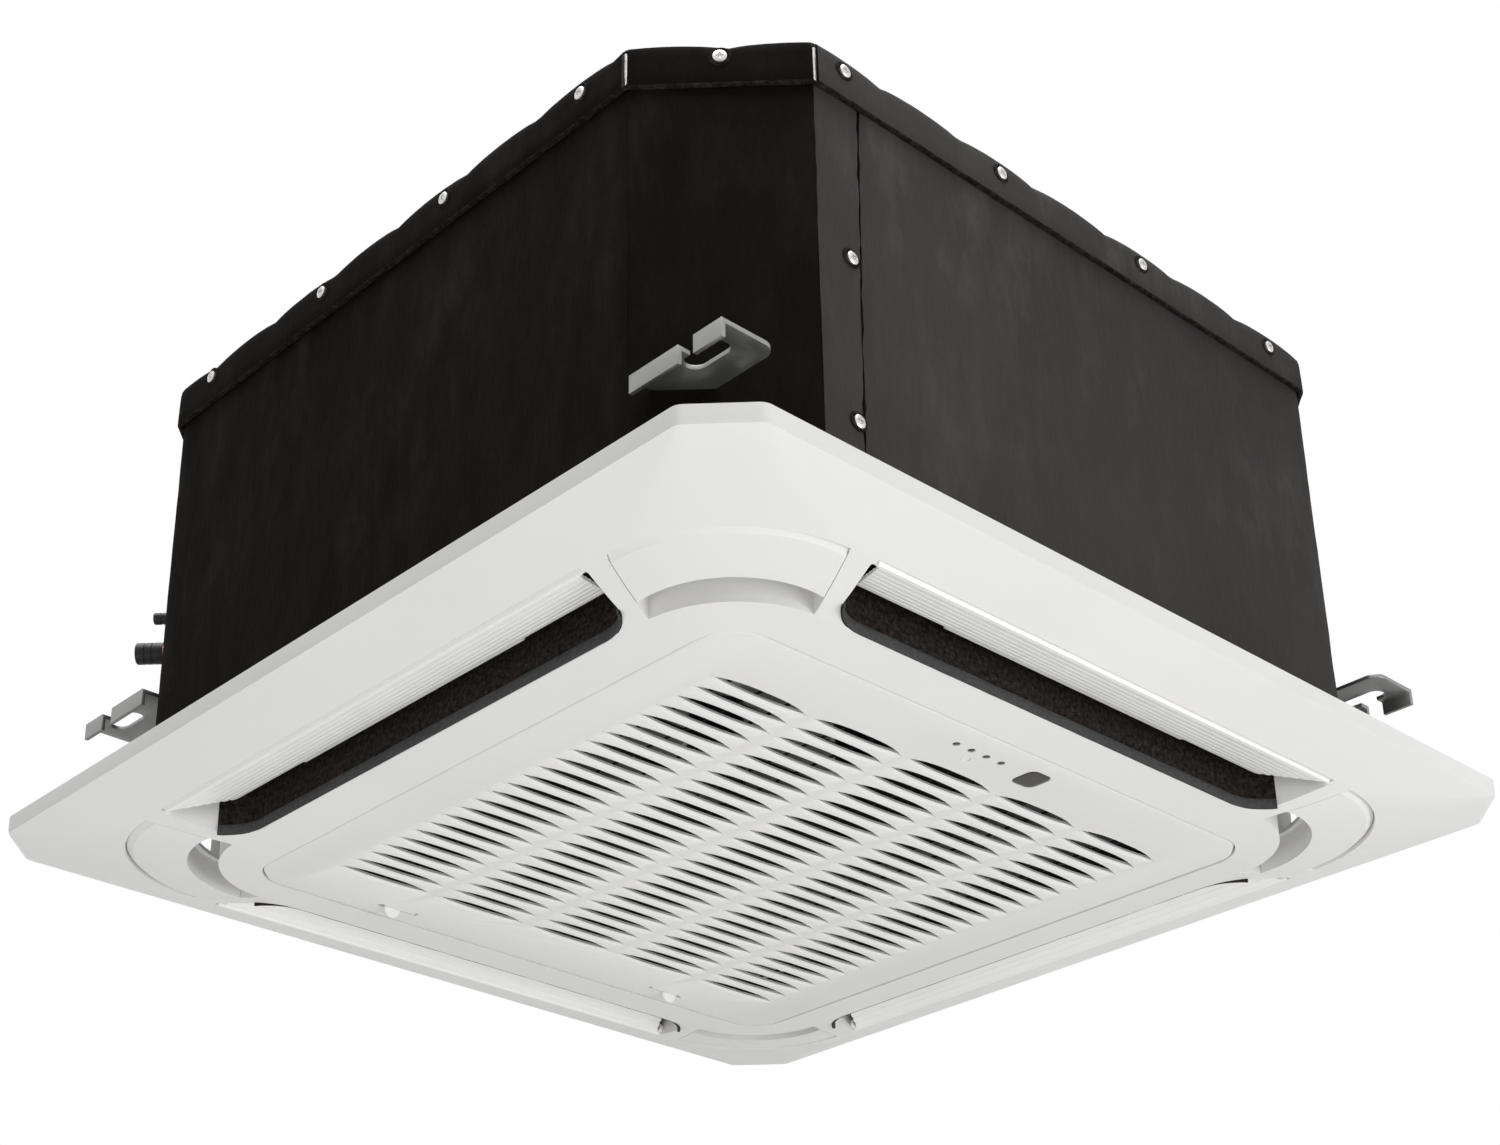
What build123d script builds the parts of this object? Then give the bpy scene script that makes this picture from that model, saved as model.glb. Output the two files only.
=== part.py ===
from build123d import *
import os
from math import cos, pi, radians, sin, sqrt, tan

os.makedirs("parts", exist_ok=True)

# Ceiling cassette air conditioner, millimetres, +Z up. The origin is the centre of the plane where the
# panel's rim meets the ceiling. The insulated body hangs above that plane, the white panel is below it.
# +X is the side with the status lights, -Y the front; the pipe corner is at -X -Y.

# ---------------------------------------------------------------- driving dimensions
# decoration panel
PANEL_HALF = 325.0
PANEL_LEG = 28.5
PANEL_ROUND = 8.0
RIM_HEIGHT = 10.5
RIM_EDGE = 3.0
RIM_WALL = 3.0
CROWN_DEPTH = 22.25
CROWN_POWER = 1.6
SKIN = 2.5
OPENING_HALF = 211.4
OPENING_LEG = 15.2
RECESS_WALL = 2.5
RECESS_TOP = -14.0
SHOULDER_LEG = 38.0
SHOULDER_ROUND = 35.0
OUTLET_OUTER_LEG = 48.0
OUTLET_MIDDLE_LEG = 42.0
OUTLET_INNER_LEG = 35.0
ROUND_SHARE = 0.97
# air outlets
OUTLET_OUTER = 286.9
OUTLET_INNER = 239.6
OUTLET_OUTER_REACH = 188.5
OUTLET_BEND = 252.0
OUTLET_BEND_REACH = 176.5
OUTLET_INNER_REACH = 162.8
OUTLET_BEND_ROUND = 14.0
OUTLET_INNER_ROUND = 30.0
WELL_WALL = 2.5
DUCT_OUTER = 272.0
DUCT_REACH = 152.0
LIP_HEIGHT = 2.5
# panel corners
COVER_CENTRE = 204.0
COVER_ARC = 81.0
COVER_INNER_CENTRE = 194.5
COVER_INNER_ARC = 58.0
COVER_SIDE_START = (285.0, 203.7)
COVER_SIDE_END = (241.0, 183.5)
COVER_GAP = 0.5
COVER_GROOVE_WIDTH = 5.0
COVER_GROOVE_DEPTH = 3.5
FRAME_ARC_CENTRE = 179.6
FRAME_ARC = 60.5
DECK_BOTTOM = -10.0
DECK_THICKNESS = 2.5
DECK_BAND = 66.0
PANEL_BOLT_PLACE = 239.0
PANEL_BOLT_RADIUS = 2.5
PANEL_BOLT_HEAD = 4.2
PANEL_BOLT_HEAD_HEIGHT = 3.5
PANEL_BOLT_END = 28.0
BOLT_CLEARANCE = 0.25
BOSS_RADIUS = 6.0
# louvres
LOUVER_PIVOT = 283.0
LOUVER_PIVOT_Z = -17.6
LOUVER_GAP = 2.8
LOUVER_OUTER = 285.2
LOUVER_INNER = 243.0
LOUVER_THICKNESS = 2.2
LOUVER_RIB_PITCH = 6.4
LOUVER_RIB_HEIGHT = 0.45
LOUVER_REST_ANGLE = 30.0
EAR_RADIUS = 3.4
EAR_THICKNESS = 3.0
LOUVER_PIN_RADIUS = 2.0
PIN_CLEARANCE = 0.08
PIN_SEAT = 185.8
PAD_THICKNESS = 5.2
PAD_MARGIN = 0.6
RUNNING_GAP = 0.3
# louvre motors
MOTOR_CAN_RADIUS = 10.0
MOTOR_CAN_LENGTH = 9.0
MOTOR_CAN_X = 281.0
MOTOR_CAN_Z = -9.1
MOTOR_CAN_START = 192.0
MOTOR_SHAFT_RADIUS = 1.5
# intake grille
GRILLE_HALF = 210.3
GRILLE_THICKNESS = 3.0
GRILLE_EDGE = 1.2
SKIRT_HALF = 208.0
SKIRT_WALL = 2.0
SKIRT_TOP = -20.0
SLOT_LENGTH = 64.5
SLOT_WIDTH = 8.4
SLOT_PITCH = 14.1
SLOT_ROWS = 24
SLOT_COLUMNS = 5
SLOT_COLUMN_PITCH = 72.5
SLOT_FIELD_X = 1.9
HINGE_X = 190.0
HINGE_Z = -28.0
HINGE_PIN_RADIUS = 1.5
HINGE_PIN_START = 204.0
HINGE_PIN_END = 213.6
# lights, receiver and button on the grille
LIGHTS_X = 192.0
LIGHTS_Y = -9.05
LIGHT_PITCH = 12.1
LIGHT_COUNT = 4
LIGHT_RADIUS = 2.0
WINDOW_X = 189.1
WINDOW_Y = 37.6
WINDOW_LENGTH = 18.1
WINDOW_WIDTH = 17.2
WINDOW_ROUND = 5.0
BUTTON_X = 182.7
BUTTON_Y = -9.4
BUTTON_RADIUS = 2.6
BUTTON_TRAVEL = 1.2
BOARD_THICKNESS = 1.6
BUTTON_SWITCH_GAP = 1.0
BUTTON_RIM = 1.0
BUTTON_RIM_THICKNESS = 0.7
DISPLAY_WIDTH = 26.0
DISPLAY_LOW_REACH = 29.0
DISPLAY_HIGH_REACH = 21.0
DISPLAY_SHIFT = 3.5
DISPLAY_POST_RADIUS = 2.5
DISPLAY_POST_INSET = 4.0
# latches
LATCH_X = -196.0
LATCH_Y = 115.0
LATCH_TRAVEL = 12.0
LATCH_TAB_LENGTH = 12.0
LATCH_TAB_THICKNESS = 2.4
LATCH_STEM = 2.0
LATCH_STEM_INSET = 1.0
LATCH_TONGUE = 2.0
LATCH_POCKET_Z = -24.5
LATCH_POCKET_GAP = 1.0
LATCH_SLIT_GAP = 0.5
# filter
FILTER_HALF = 186.0
FILTER_BOTTOM = -24.0
FILTER_TOP = -15.0
FILTER_RIM = 9.0
FILTER_THREAD = 1.2
FILTER_GAPS = 17
PEG_PLACE = 181.5
PEG_RADIUS = 3.0
# body
BODY_BOTTOM = 21.5
CASING_HALF = 276.5
CASING_LEG = 65.87
SHEET = 1.2
CASING_TOP = 276.5
FLANGE_WIDTH = 3.5
GUSSET_LINE = 430.0
JACKET = 5.0
SKIRT_BOTTOM = 255.0
SKIRT_GAP = 0.3
CAP_SIDE = 1.6
CAP_TOP = 3.8
CAP_BOTTOM = 254.6
SEAT_GAP = 0.3
# screws of the cap and the side
CAP_SCREW_Z = 272.0
CAP_SCREW_HEAD = 3.75
CAP_SCREW_HEAD_HEIGHT = 2.0
CAP_SCREW_RADIUS = 1.6
CAP_SCREW_COUNT = 4
X_FACE_PITCH = 124.3
X_FACE_SHIFT = -6.5
Y_FACE_PITCH = 118.3
Y_FACE_SHIFT = 1.6
SIDE_SCREW_Y = -190.0
SIDE_SCREW_LOW = 57.0
SIDE_SCREW_HIGH = 155.0
# hanger brackets
SLOT_X = 261.5
SLOT_Y = 272.5
HANGER_SLOT_LENGTH = 27.5
HANGER_SLOT_WIDTH = 12.0
HANGER_MOUTH = 10.5
BRACKET_OUTER = 286.5
BRACKET_Z = 68.4
BRACKET_THICKNESS = 2.5
BRACKET_START = 221.0
BRACKET_SIDE_END = 250.0
BRACKET_ROUND = 8.0
BRACKET_LIP = 8.0
TAB_WIDTH = 44.0
TAB_BOTTOM = 38.0
TAB_BOLT_Z = 53.0
TAB_BOLT_SPACING = 24.0
TAB_BOLT_RADIUS = 2.5
TAB_BOLT_HEAD = 4.4
TAB_BOLT_HEAD_HEIGHT = 3.6
# pipes
PIPE_PLATE_WIDTH = 74.0
PIPE_PLATE_LOW = 98.0
PIPE_PLATE_HIGH = 162.0
PIPE_WINDOW_MARGIN = 6.0
GAS_PIPE_S = -11.0
GAS_PIPE_Z = 125.0
GAS_PIPE_RADIUS = 6.35
LIQUID_PIPE_S = 14.0
LIQUID_PIPE_Z = 136.0
LIQUID_PIPE_RADIUS = 3.175
PIPE_INNER_END = 305.0
GAS_PIPE_REACH = 30.0
LIQUID_PIPE_REACH = 14.0
PIPE_WALL = 0.9
PIPE_CAP_WALL = 0.6
PIPE_CAP_LENGTH = 16.0
# drain
STUB_Y = 190.0
STUB_Z = 200.0
STUB_RADIUS = 12.5
STUB_BORE = 10.0
STUB_END = 318.0
STUB_INNER = 262.0
STUB_NECK = 11.5
STUB_SHOULDER_GAP = 1.0
STUB_FLANGE = 15.0
HOSE_RADIUS = 8.0
HOSE_BORE = 6.0
HOSE_SHIFT = 5.0
HOSE_STRAIGHT = 38.0
HOSE_LEAD = 22.0
HOSE_BEND = 14.0
# foam liner and drain pan
LINER_HALF = 275.0
LINER_WALL = 7.0
PAN_TOP = 62.0
PAN_HOLE = 178.0
TROUGH_INNER = 188.0
TROUGH_OUTER = 232.0
TROUGH_FLOOR = 34.0
DUCT_TOP_OUTER = 268.0
BAR_INNER = 216.0
BAR_REACH = 148.0
BAR_BOTTOM = -20.0
SEAL_BOTTOM = -27.8
PUMP_PLACE = 223.0
SUMP_RADIUS = 21.0
SUMP_FLOOR = 28.0
# evaporator
COIL_OUTER = 226.0
COIL_DEPTH = 30.0
COIL_ROUND = 60.0
COIL_TOP = 266.0
COIL_END = 150.0
TUBE_RADIUS = 3.5
TUBE_LEVELS = 9
TUBE_PITCH = 24.0
TUBE_BEND = 14.0
TUBE_BEND_RADIUS = 6.0
PLATE_FOAM = 3.0
# fan, motor and bell mouth
THROAT_RADIUS = 131.0
THROAT_TOP = 66.0
BELL_RADIUS = 165.0
BELL_WALL = 2.0
BELL_PLATE = 213.0
BELL_PLATE_ROUND = 20.0
BELL_FLARE = 33.0
BELL_ARC = 36.0
FAN_INLET = 137.0
FAN_RADIUS = 180.0
FAN_INLET_Z = 62.0
FAN_SHROUD_Z = 85.0
FAN_PLATE_Z = 170.0
FAN_WALL = 3.0
BLADE_COUNT = 7
BLADE_INNER = 110.0
BLADE_SWEEP = 38.0
BLADE_BEND = 12.0
HUB_BOSS = 12.0
NUT_RADIUS = 10.0
NUT_HEIGHT = 7.0
HUB_RADIUS = 70.0
HUB_PLATE_Z = 118.0
SHAFT_RADIUS = 6.0
SHAFT_END = 96.0
SHAFT_TOP = 250.0
MOTOR_RADIUS = 62.0
MOTOR_EDGE = 6.0
MOTOR_BOTTOM = 128.0
MOTOR_TOP = 260.0
MOTOR_FLANGE_RADIUS = 95.0
MOTOR_FLANGE = 4.0
MOUNT_RADIUS = 9.0
MOUNT_CIRCLE = 82.0
# pump, float, control box
PUMP_RADIUS = 17.0
PUMP_BOTTOM = 66.0
PUMP_HEIGHT = 46.0
IMPELLER_RADIUS = 12.0
IMPELLER_Z = 41.0
IMPELLER_HEIGHT = 7.0
IMPELLER_SHAFT = 2.0
PUMP_INTAKE = 4.0
PUMP_WALL = 1.5
PUMP_LID_LENGTH = 76.0
FLOAT_X = -202.0
FLOAT_Y = 244.0
FLOAT_RADIUS = 9.0
FLOAT_STEM = 3.0
FLOAT_STOP = 30.0
FLOAT_STOP_THICKNESS = 1.5
FLOAT_HEIGHT = 10.0
FLOAT_WELL_GAP = 2.0
FLOAT_FLANGE = 3.0
FLOAT_STOP_RIM = 2.0
BOX_X_LOW = -150.0
BOX_X_HIGH = 170.0
BOX_Y_LOW = 152.0
BOX_Y_HIGH = 207.0
BOX_BOTTOM = -8.0
BOARD_Z = 8.0
BOARD_MARGIN = 24.0
POST_RADIUS = 3.0
BOARD_PARTS = 4
BOARD_PART_PITCH = 64.0
BOARD_PART_LENGTH = 35.5
BOARD_PART_WIDTH = 18.4
BOARD_PART_GAP = 1.0

# ---------------------------------------------------------------- worked-out values
FULL_ROUND = 1 / (sqrt(2) * tan(radians(22.5)))
LEG_STEP = 2 - sqrt(2)
JACKET_HALF = CASING_HALF + JACKET
CHAMFER_CASING = (2 * CASING_HALF - CASING_LEG) / sqrt(2)
CHAMFER_JACKET = CHAMFER_CASING + JACKET
TOP_PLATE_TOP = CASING_TOP + SHEET
CAP_TOP_Z = TOP_PLATE_TOP + CAP_TOP
SKIRT_INSIDE = JACKET_HALF + SKIRT_GAP
CAP_INSIDE = SKIRT_INSIDE + SHEET
CAP_HALF = CAP_INSIDE + CAP_SIDE
PAN_BOTTOM = BODY_BOTTOM + SHEET
LINER_INSIDE = LINER_HALF - LINER_WALL
COIL_INNER = COIL_OUTER - COIL_DEPTH
COIL_BOTTOM = TROUGH_FLOOR + SEAT_GAP
BELL_PLATE_BOTTOM = PAN_BOTTOM - SKIN
BOX_TOP = BELL_PLATE_BOTTOM
WELL_TOP = BODY_BOTTOM
GRILLE_BOTTOM = -RIM_HEIGHT - CROWN_DEPTH
GRILLE_TOP = GRILLE_BOTTOM + GRILLE_THICKNESS
DECK_TOP = DECK_BOTTOM + DECK_THICKNESS
HUGE = 2 * PANEL_HALF

SIDES = {"right": 0, "back": 90, "left": 180, "front": 270}
CORNERS = {"back_right": (1, 1), "back_left": (-1, 1), "front_left": (-1, -1), "front_right": (1, -1)}


def crown_z(half):
    """Height of the panel's visible surface at a half width."""
    share = (PANEL_HALF - half) / (PANEL_HALF - OPENING_HALF)
    return -RIM_HEIGHT - CROWN_DEPTH * (1 - (1 - share) ** CROWN_POWER)


def cut_square(half, leg, rounding=0.0):
    """Square of a half width with its corners cut by a leg and the cuts rounded."""
    inner = half - leg
    points = [(half, inner), (inner, half), (-inner, half), (-half, inner)]
    points += [(-half, -inner), (-inner, -half), (inner, -half), (half, -inner)]
    with BuildSketch(mode=Mode.PRIVATE) as outline:
        Polygon(*points)
        if rounding:
            fillet(outline.vertices(), rounding)
    return outline.sketch


def body_outline(half):
    """Octagon of the body at a half width, parallel to the casing's."""
    return cut_square(half, CASING_LEG + LEG_STEP * (half - CASING_HALF))


def opening_outline(half):
    """Round-cornered square parallel to the intake opening's edge."""
    leg = OPENING_LEG + LEG_STEP * (half - OPENING_HALF)
    return cut_square(half, leg, ROUND_SHARE * FULL_ROUND * leg)


def outlet_outline(grow):
    """Outline of the air outlet on the +X side, grown outwards by an offset."""
    points = [(OUTLET_OUTER, OUTLET_OUTER_REACH), (OUTLET_BEND, OUTLET_BEND_REACH)]
    points += [(OUTLET_INNER, OUTLET_INNER_REACH), (OUTLET_INNER, -OUTLET_INNER_REACH)]
    points += [(OUTLET_BEND, -OUTLET_BEND_REACH), (OUTLET_OUTER, -OUTLET_OUTER_REACH)]
    with BuildSketch(mode=Mode.PRIVATE) as outline:
        Polygon(*points)
        inner = outline.vertices().group_by(Axis.X)[0]
        fillet(inner, OUTLET_INNER_ROUND)
        bend = outline.vertices().filter_by_position(Axis.X, OUTLET_BEND - 1, OUTLET_BEND + 1)
        fillet(bend, OUTLET_BEND_ROUND)
        if grow:
            offset(amount=grow)
    return outline.sketch


def corner_region(grow, inner_centre, inner_arc):
    """Panel corner at +X +Y between two arcs and two side lines, grown by an offset."""
    run = Vector(*COVER_SIDE_START) - Vector(*COVER_SIDE_END)
    along = run.normalized()
    away = Vector(along.Y, -along.X) * grow
    start = Vector(*COVER_SIDE_END) + away
    end = Vector(*COVER_SIDE_START) + along * JACKET + away
    mirrored = [(end.Y, end.X), (start.Y, start.X)]
    points = [(start.X, start.Y), (end.X, end.Y), (PANEL_HALF, PANEL_HALF)] + mirrored
    points += [(FRAME_ARC_CENTRE - JACKET, FRAME_ARC_CENTRE - JACKET)]
    with BuildSketch(mode=Mode.PRIVATE) as region:
        with Locations((COVER_CENTRE, COVER_CENTRE)):
            Circle(COVER_ARC + grow)
        Polygon(*points, mode=Mode.INTERSECT)
        with Locations((inner_centre, inner_centre)):
            Circle(inner_arc - grow, mode=Mode.SUBTRACT)
    return region.sketch


def corner_band(width):
    """Strip along the diagonal at +X +Y, a given half width to each side of it."""
    with BuildSketch(mode=Mode.PRIVATE) as band:
        with Locations(Location((0, 0, 0), (0, 0, 45))):
            Rectangle(4 * PANEL_HALF, sqrt(2) * width)
    return band.sketch


def chamfer_plane(signs, distance, height):
    """Plane on a cut corner of the body, x along the corner, y up, z outwards."""
    sign_x, sign_y = signs
    origin = (sign_x * distance / sqrt(2), sign_y * distance / sqrt(2), height)
    return Plane(origin=origin, x_dir=(-sign_y, sign_x, 0), z_dir=(sign_x, sign_y, 0))


def side_plane(turn, distance, height):
    """Plane on a flat side of the body, x along the side, y up, z outwards."""
    out = (cos(radians(turn)), sin(radians(turn)), 0)
    origin = (out[0] * distance, out[1] * distance, height)
    return Plane(origin=origin, x_dir=(-out[1], out[0], 0), z_dir=out)


def screw_planes(distance_grow):
    """Planes of the cap's screws: four on each side and one on each cut corner."""
    planes = []
    for turn in SIDES.values():
        facing_x = turn % 180 == 0
        pitch = X_FACE_PITCH if facing_x else Y_FACE_PITCH
        shift = X_FACE_SHIFT if facing_x else Y_FACE_SHIFT
        direction = 1 if turn in (0, 270) else -1
        plane = side_plane(turn, JACKET_HALF + distance_grow, CAP_SCREW_Z)
        for index in range(CAP_SCREW_COUNT):
            place = shift + (index - (CAP_SCREW_COUNT - 1) / 2) * pitch
            planes.append(plane * Location((direction * place, 0, 0)))
    for signs in CORNERS.values():
        planes.append(chamfer_plane(signs, CHAMFER_JACKET + distance_grow, CAP_SCREW_Z))
    return [plane if isinstance(plane, Plane) else Plane(plane) for plane in planes]


def side_screw_planes(distance_grow):
    """Planes of the two screws low on the +X side."""
    planes = []
    for height in (SIDE_SCREW_LOW, SIDE_SCREW_HIGH):
        plane = side_plane(0, JACKET_HALF + distance_grow, height)
        planes.append(Plane(plane * Location((SIDE_SCREW_Y, 0, 0))))
    return planes


def screw_holes(planes, radius, depth):
    """Round cutters along the screws, from their planes inwards."""
    cutters = []
    for plane in planes:
        with BuildPart(mode=Mode.PRIVATE) as cutter:
            with BuildSketch(plane):
                Circle(radius)
            extrude(amount=-depth)
            with BuildSketch(plane):
                Circle(radius)
            extrude(amount=JACKET)
        cutters.append(cutter.part)
    return cutters


SCREW_HOLE_RADIUS = CAP_SCREW_RADIUS + BOLT_CLEARANCE
CAP_SCREW_END = JACKET + 2 * SHEET
cap_holes = screw_holes(screw_planes(0), SCREW_HOLE_RADIUS, CAP_SCREW_END)
side_holes = screw_holes(side_screw_planes(0), SCREW_HOLE_RADIUS, CAP_SCREW_END)

# ---------------------------------------------------------------- panel frame
crown_sections = [(PANEL_HALF, PANEL_LEG, PANEL_ROUND)]
crown_sections += [((PANEL_HALF + OUTLET_OUTER) / 2, SHOULDER_LEG, SHOULDER_ROUND)]
for half, leg in (
    (OUTLET_OUTER, OUTLET_OUTER_LEG),
    ((OUTLET_OUTER + OUTLET_INNER) / 2, OUTLET_MIDDLE_LEG),
    (OUTLET_INNER, OUTLET_INNER_LEG),
    (OPENING_HALF, OPENING_LEG),
):
    crown_sections.append((half, leg, ROUND_SHARE * FULL_ROUND * leg))
RIM_SLOPE = CROWN_POWER * CROWN_DEPTH / (PANEL_HALF - OPENING_HALF)
EDGE_SET_BACK = RIM_EDGE * (1 - RIM_SLOPE / 2)
edge_steps = [(0.0, EDGE_SET_BACK), (0.2, 0.3), (0.7, -0.2)]

with BuildPart() as panel_envelope:
    for inset, rise in edge_steps:
        half = PANEL_HALF - inset * RIM_EDGE
        with BuildSketch(Plane.XY.offset(-RIM_HEIGHT + rise)):
            add(cut_square(half, PANEL_LEG - LEG_STEP * inset * RIM_EDGE, PANEL_ROUND))
    for half, leg, rounding in crown_sections[1:]:
        with BuildSketch(Plane.XY.offset(crown_z(half))):
            add(cut_square(half, leg, rounding))
    loft(ruled=True)
    with BuildSketch(Plane.XY.offset(-RIM_HEIGHT + EDGE_SET_BACK)):
        add(cut_square(PANEL_HALF, PANEL_LEG, PANEL_ROUND))
    extrude(amount=RIM_HEIGHT - EDGE_SET_BACK)

rim_inside = PANEL_HALF - RIM_WALL
with BuildPart() as panel_hollow:
    with BuildSketch(Plane.XY.offset(crown_z(rim_inside) + SKIN)):
        add(cut_square(rim_inside, PANEL_LEG - LEG_STEP * RIM_WALL, PANEL_ROUND - RIM_WALL))
    for half, leg, rounding in crown_sections[1:]:
        with BuildSketch(Plane.XY.offset(crown_z(half) + SKIN)):
            add(cut_square(half, leg, rounding))
    loft(ruled=True)
    with BuildSketch(Plane.XY.offset(crown_z(rim_inside) + SKIN)):
        add(cut_square(rim_inside, PANEL_LEG - LEG_STEP * RIM_WALL, PANEL_ROUND - RIM_WALL))
    extrude(amount=RIM_HEIGHT)

with BuildPart() as panel_shell:
    add(panel_envelope.part)
    add(panel_hollow.part, mode=Mode.SUBTRACT)

WALL_START = GRILLE_BOTTOM - SKIN
with BuildPart() as panel_walls:
    with BuildSketch(Plane.XY.offset(WALL_START)):
        with PolarLocations(0, 4):
            add(outlet_outline(WELL_WALL))
    extrude(amount=WELL_TOP - WALL_START)
    with BuildSketch(Plane.XY.offset(WALL_START)):
        add(corner_region(COVER_GAP + WELL_WALL, FRAME_ARC_CENTRE, FRAME_ARC))
        add(corner_band(DECK_BAND), mode=Mode.INTERSECT)
    corner_walls = extrude(amount=DECK_TOP - WALL_START)
    for turn in (90, 180, 270):
        add(corner_walls, rotation=(0, 0, turn))
    with BuildSketch(Plane.XY.offset(WALL_START)):
        add(opening_outline(OPENING_HALF + RECESS_WALL))
        add(opening_outline(OPENING_HALF), mode=Mode.SUBTRACT)
    extrude(amount=RECESS_TOP - WALL_START)

with BuildPart() as walls_limit:
    add(panel_envelope.part)
    with BuildSketch():
        add(cut_square(PANEL_HALF, PANEL_LEG, PANEL_ROUND))
    extrude(amount=BODY_BOTTOM)

pad_outer = OUTLET_OUTER + WELL_WALL
pad_inner = LOUVER_PIVOT - EAR_RADIUS - PAD_MARGIN
PAD_HEIGHT = 2 * (EAR_RADIUS + PAD_MARGIN)
with BuildPart() as bearing_pads:
    for end in (1, -1):
        with BuildSketch(Plane.XZ.offset(-end * PIN_SEAT)):
            with Locations(((pad_inner + pad_outer) / 2, LOUVER_PIVOT_Z)):
                Rectangle(pad_outer - pad_inner, PAD_HEIGHT)
        extrude(amount=-end * PAD_THICKNESS)
    # seat of the louvre motor on the outer face of the well's end wall
    seat_start = PIN_SEAT + PAD_THICKNESS / 2
    seat_bottom = LOUVER_PIVOT_Z + PAD_HEIGHT / 2
    with BuildSketch(Plane.XZ.offset(-seat_start)):
        with Locations((MOTOR_CAN_X, (seat_bottom + MOTOR_CAN_Z + MOTOR_CAN_RADIUS) / 2)):
            Rectangle(2 * (pad_outer - MOTOR_CAN_X), MOTOR_CAN_Z + MOTOR_CAN_RADIUS - seat_bottom)
    extrude(amount=-(MOTOR_CAN_START - seat_start))
    add(walls_limit.part, mode=Mode.INTERSECT)

with BuildPart() as pin_bores:
    with BuildSketch(Plane.XZ.offset(-PIN_SEAT - PAD_THICKNESS)):
        with Locations((LOUVER_PIVOT, LOUVER_PIVOT_Z)):
            Circle(LOUVER_PIN_RADIUS + PIN_CLEARANCE)
    extrude(amount=2 * (PIN_SEAT + PAD_THICKNESS))

with BuildSketch() as deck_crescent:
    add(corner_region(COVER_GAP, FRAME_ARC_CENTRE, FRAME_ARC))
    add(corner_region(COVER_GAP + SKIN, COVER_INNER_CENTRE, COVER_INNER_ARC), mode=Mode.SUBTRACT)

bolt_places = [(x * PANEL_BOLT_PLACE, y * PANEL_BOLT_PLACE) for x, y in CORNERS.values()]
duct_low = OUTLET_INNER - 2 * WELL_WALL

with BuildPart() as panel_frame:
    add(panel_walls.part)
    add(walls_limit.part, mode=Mode.INTERSECT)
    add(panel_shell.part)
    # outlets, their duct openings in the roof and their open inner sides
    with BuildSketch(Plane.XY.offset(WALL_START)):
        with PolarLocations(0, 4):
            add(outlet_outline(0))
    extrude(amount=WELL_TOP - WELL_WALL - WALL_START, mode=Mode.SUBTRACT)
    with BuildSketch():
        with PolarLocations((duct_low + DUCT_OUTER) / 2, 4):
            Rectangle(DUCT_OUTER - duct_low, 2 * DUCT_REACH)
    extrude(amount=BODY_BOTTOM, mode=Mode.SUBTRACT)
    with BuildSketch(Plane.XY.offset(crown_z(OUTLET_INNER) + LIP_HEIGHT)):
        with PolarLocations(OUTLET_INNER - WELL_WALL, 4):
            Rectangle(2 * WELL_WALL, 2 * DUCT_REACH)
    extrude(amount=2 * BODY_BOTTOM, mode=Mode.SUBTRACT)
    # corners under the covers
    with BuildSketch(Plane.XY.offset(WALL_START)):
        with PolarLocations(0, 4):
            add(corner_region(COVER_GAP, FRAME_ARC_CENTRE, FRAME_ARC))
    extrude(amount=DECK_BOTTOM - WALL_START, mode=Mode.SUBTRACT)
    # crescent gap in each deck, between the cover's inner edge and the frame's ring
    with BuildSketch(Plane.XY.offset(DECK_BOTTOM)):
        with PolarLocations(0, 4):
            add(deck_crescent.sketch)
    extrude(amount=DECK_THICKNESS, mode=Mode.SUBTRACT)
    # intake opening
    with BuildSketch(Plane.XY.offset(WALL_START)):
        add(opening_outline(OPENING_HALF))
    extrude(amount=HUGE, mode=Mode.SUBTRACT)
    # bosses up to the casing around the panel bolts
    with BuildSketch(Plane.XY.offset(DECK_BOTTOM)):
        with Locations(bolt_places):
            Circle(BOSS_RADIUS)
    extrude(amount=BODY_BOTTOM - DECK_BOTTOM)
    with BuildSketch(Plane.XY.offset(DECK_BOTTOM)):
        with Locations(bolt_places):
            Circle(PANEL_BOLT_RADIUS + BOLT_CLEARANCE)
    extrude(amount=BODY_BOTTOM - DECK_BOTTOM, mode=Mode.SUBTRACT)
    # bearings of the louvres, seats of the louvre motors
    for turn in SIDES.values():
        add(bearing_pads.part, rotation=(0, 0, turn))
    for turn in SIDES.values():
        add(pin_bores.part, rotation=(0, 0, turn), mode=Mode.SUBTRACT)
    # bores of the grille's hinge pins
    for end in (1, -1):
        with BuildSketch(Plane.XZ.offset(-end * (OPENING_HALF - RECESS_WALL))):
            with Locations((HINGE_X, HINGE_Z)):
                Circle(HINGE_PIN_RADIUS + PIN_CLEARANCE)
        extrude(amount=-end * 3 * RECESS_WALL, mode=Mode.SUBTRACT)
    # pockets in the recess wall in front of the latches
    with BuildSketch(Plane.YZ.offset(-OPENING_HALF - 2 * RECESS_WALL)):
        with Locations((LATCH_Y, LATCH_POCKET_Z), (-LATCH_Y, LATCH_POCKET_Z)):
            Rectangle(LATCH_TAB_LENGTH, LATCH_TONGUE + 2 * LATCH_POCKET_GAP)
    extrude(amount=3 * RECESS_WALL, mode=Mode.SUBTRACT)
panel_frame.part.label = "panel_frame"
export_step(panel_frame.part, "parts/panel_frame.step")

# ---------------------------------------------------------------- corner covers
GROOVE_START = COVER_ARC - COVER_GROOVE_WIDTH
cover_edge_z = crown_z(COVER_CENTRE + COVER_ARC)
cover_groove_z = crown_z(COVER_CENTRE + GROOVE_START)
cover_backing_z = cover_edge_z + COVER_GROOVE_DEPTH + SKIN

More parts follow.
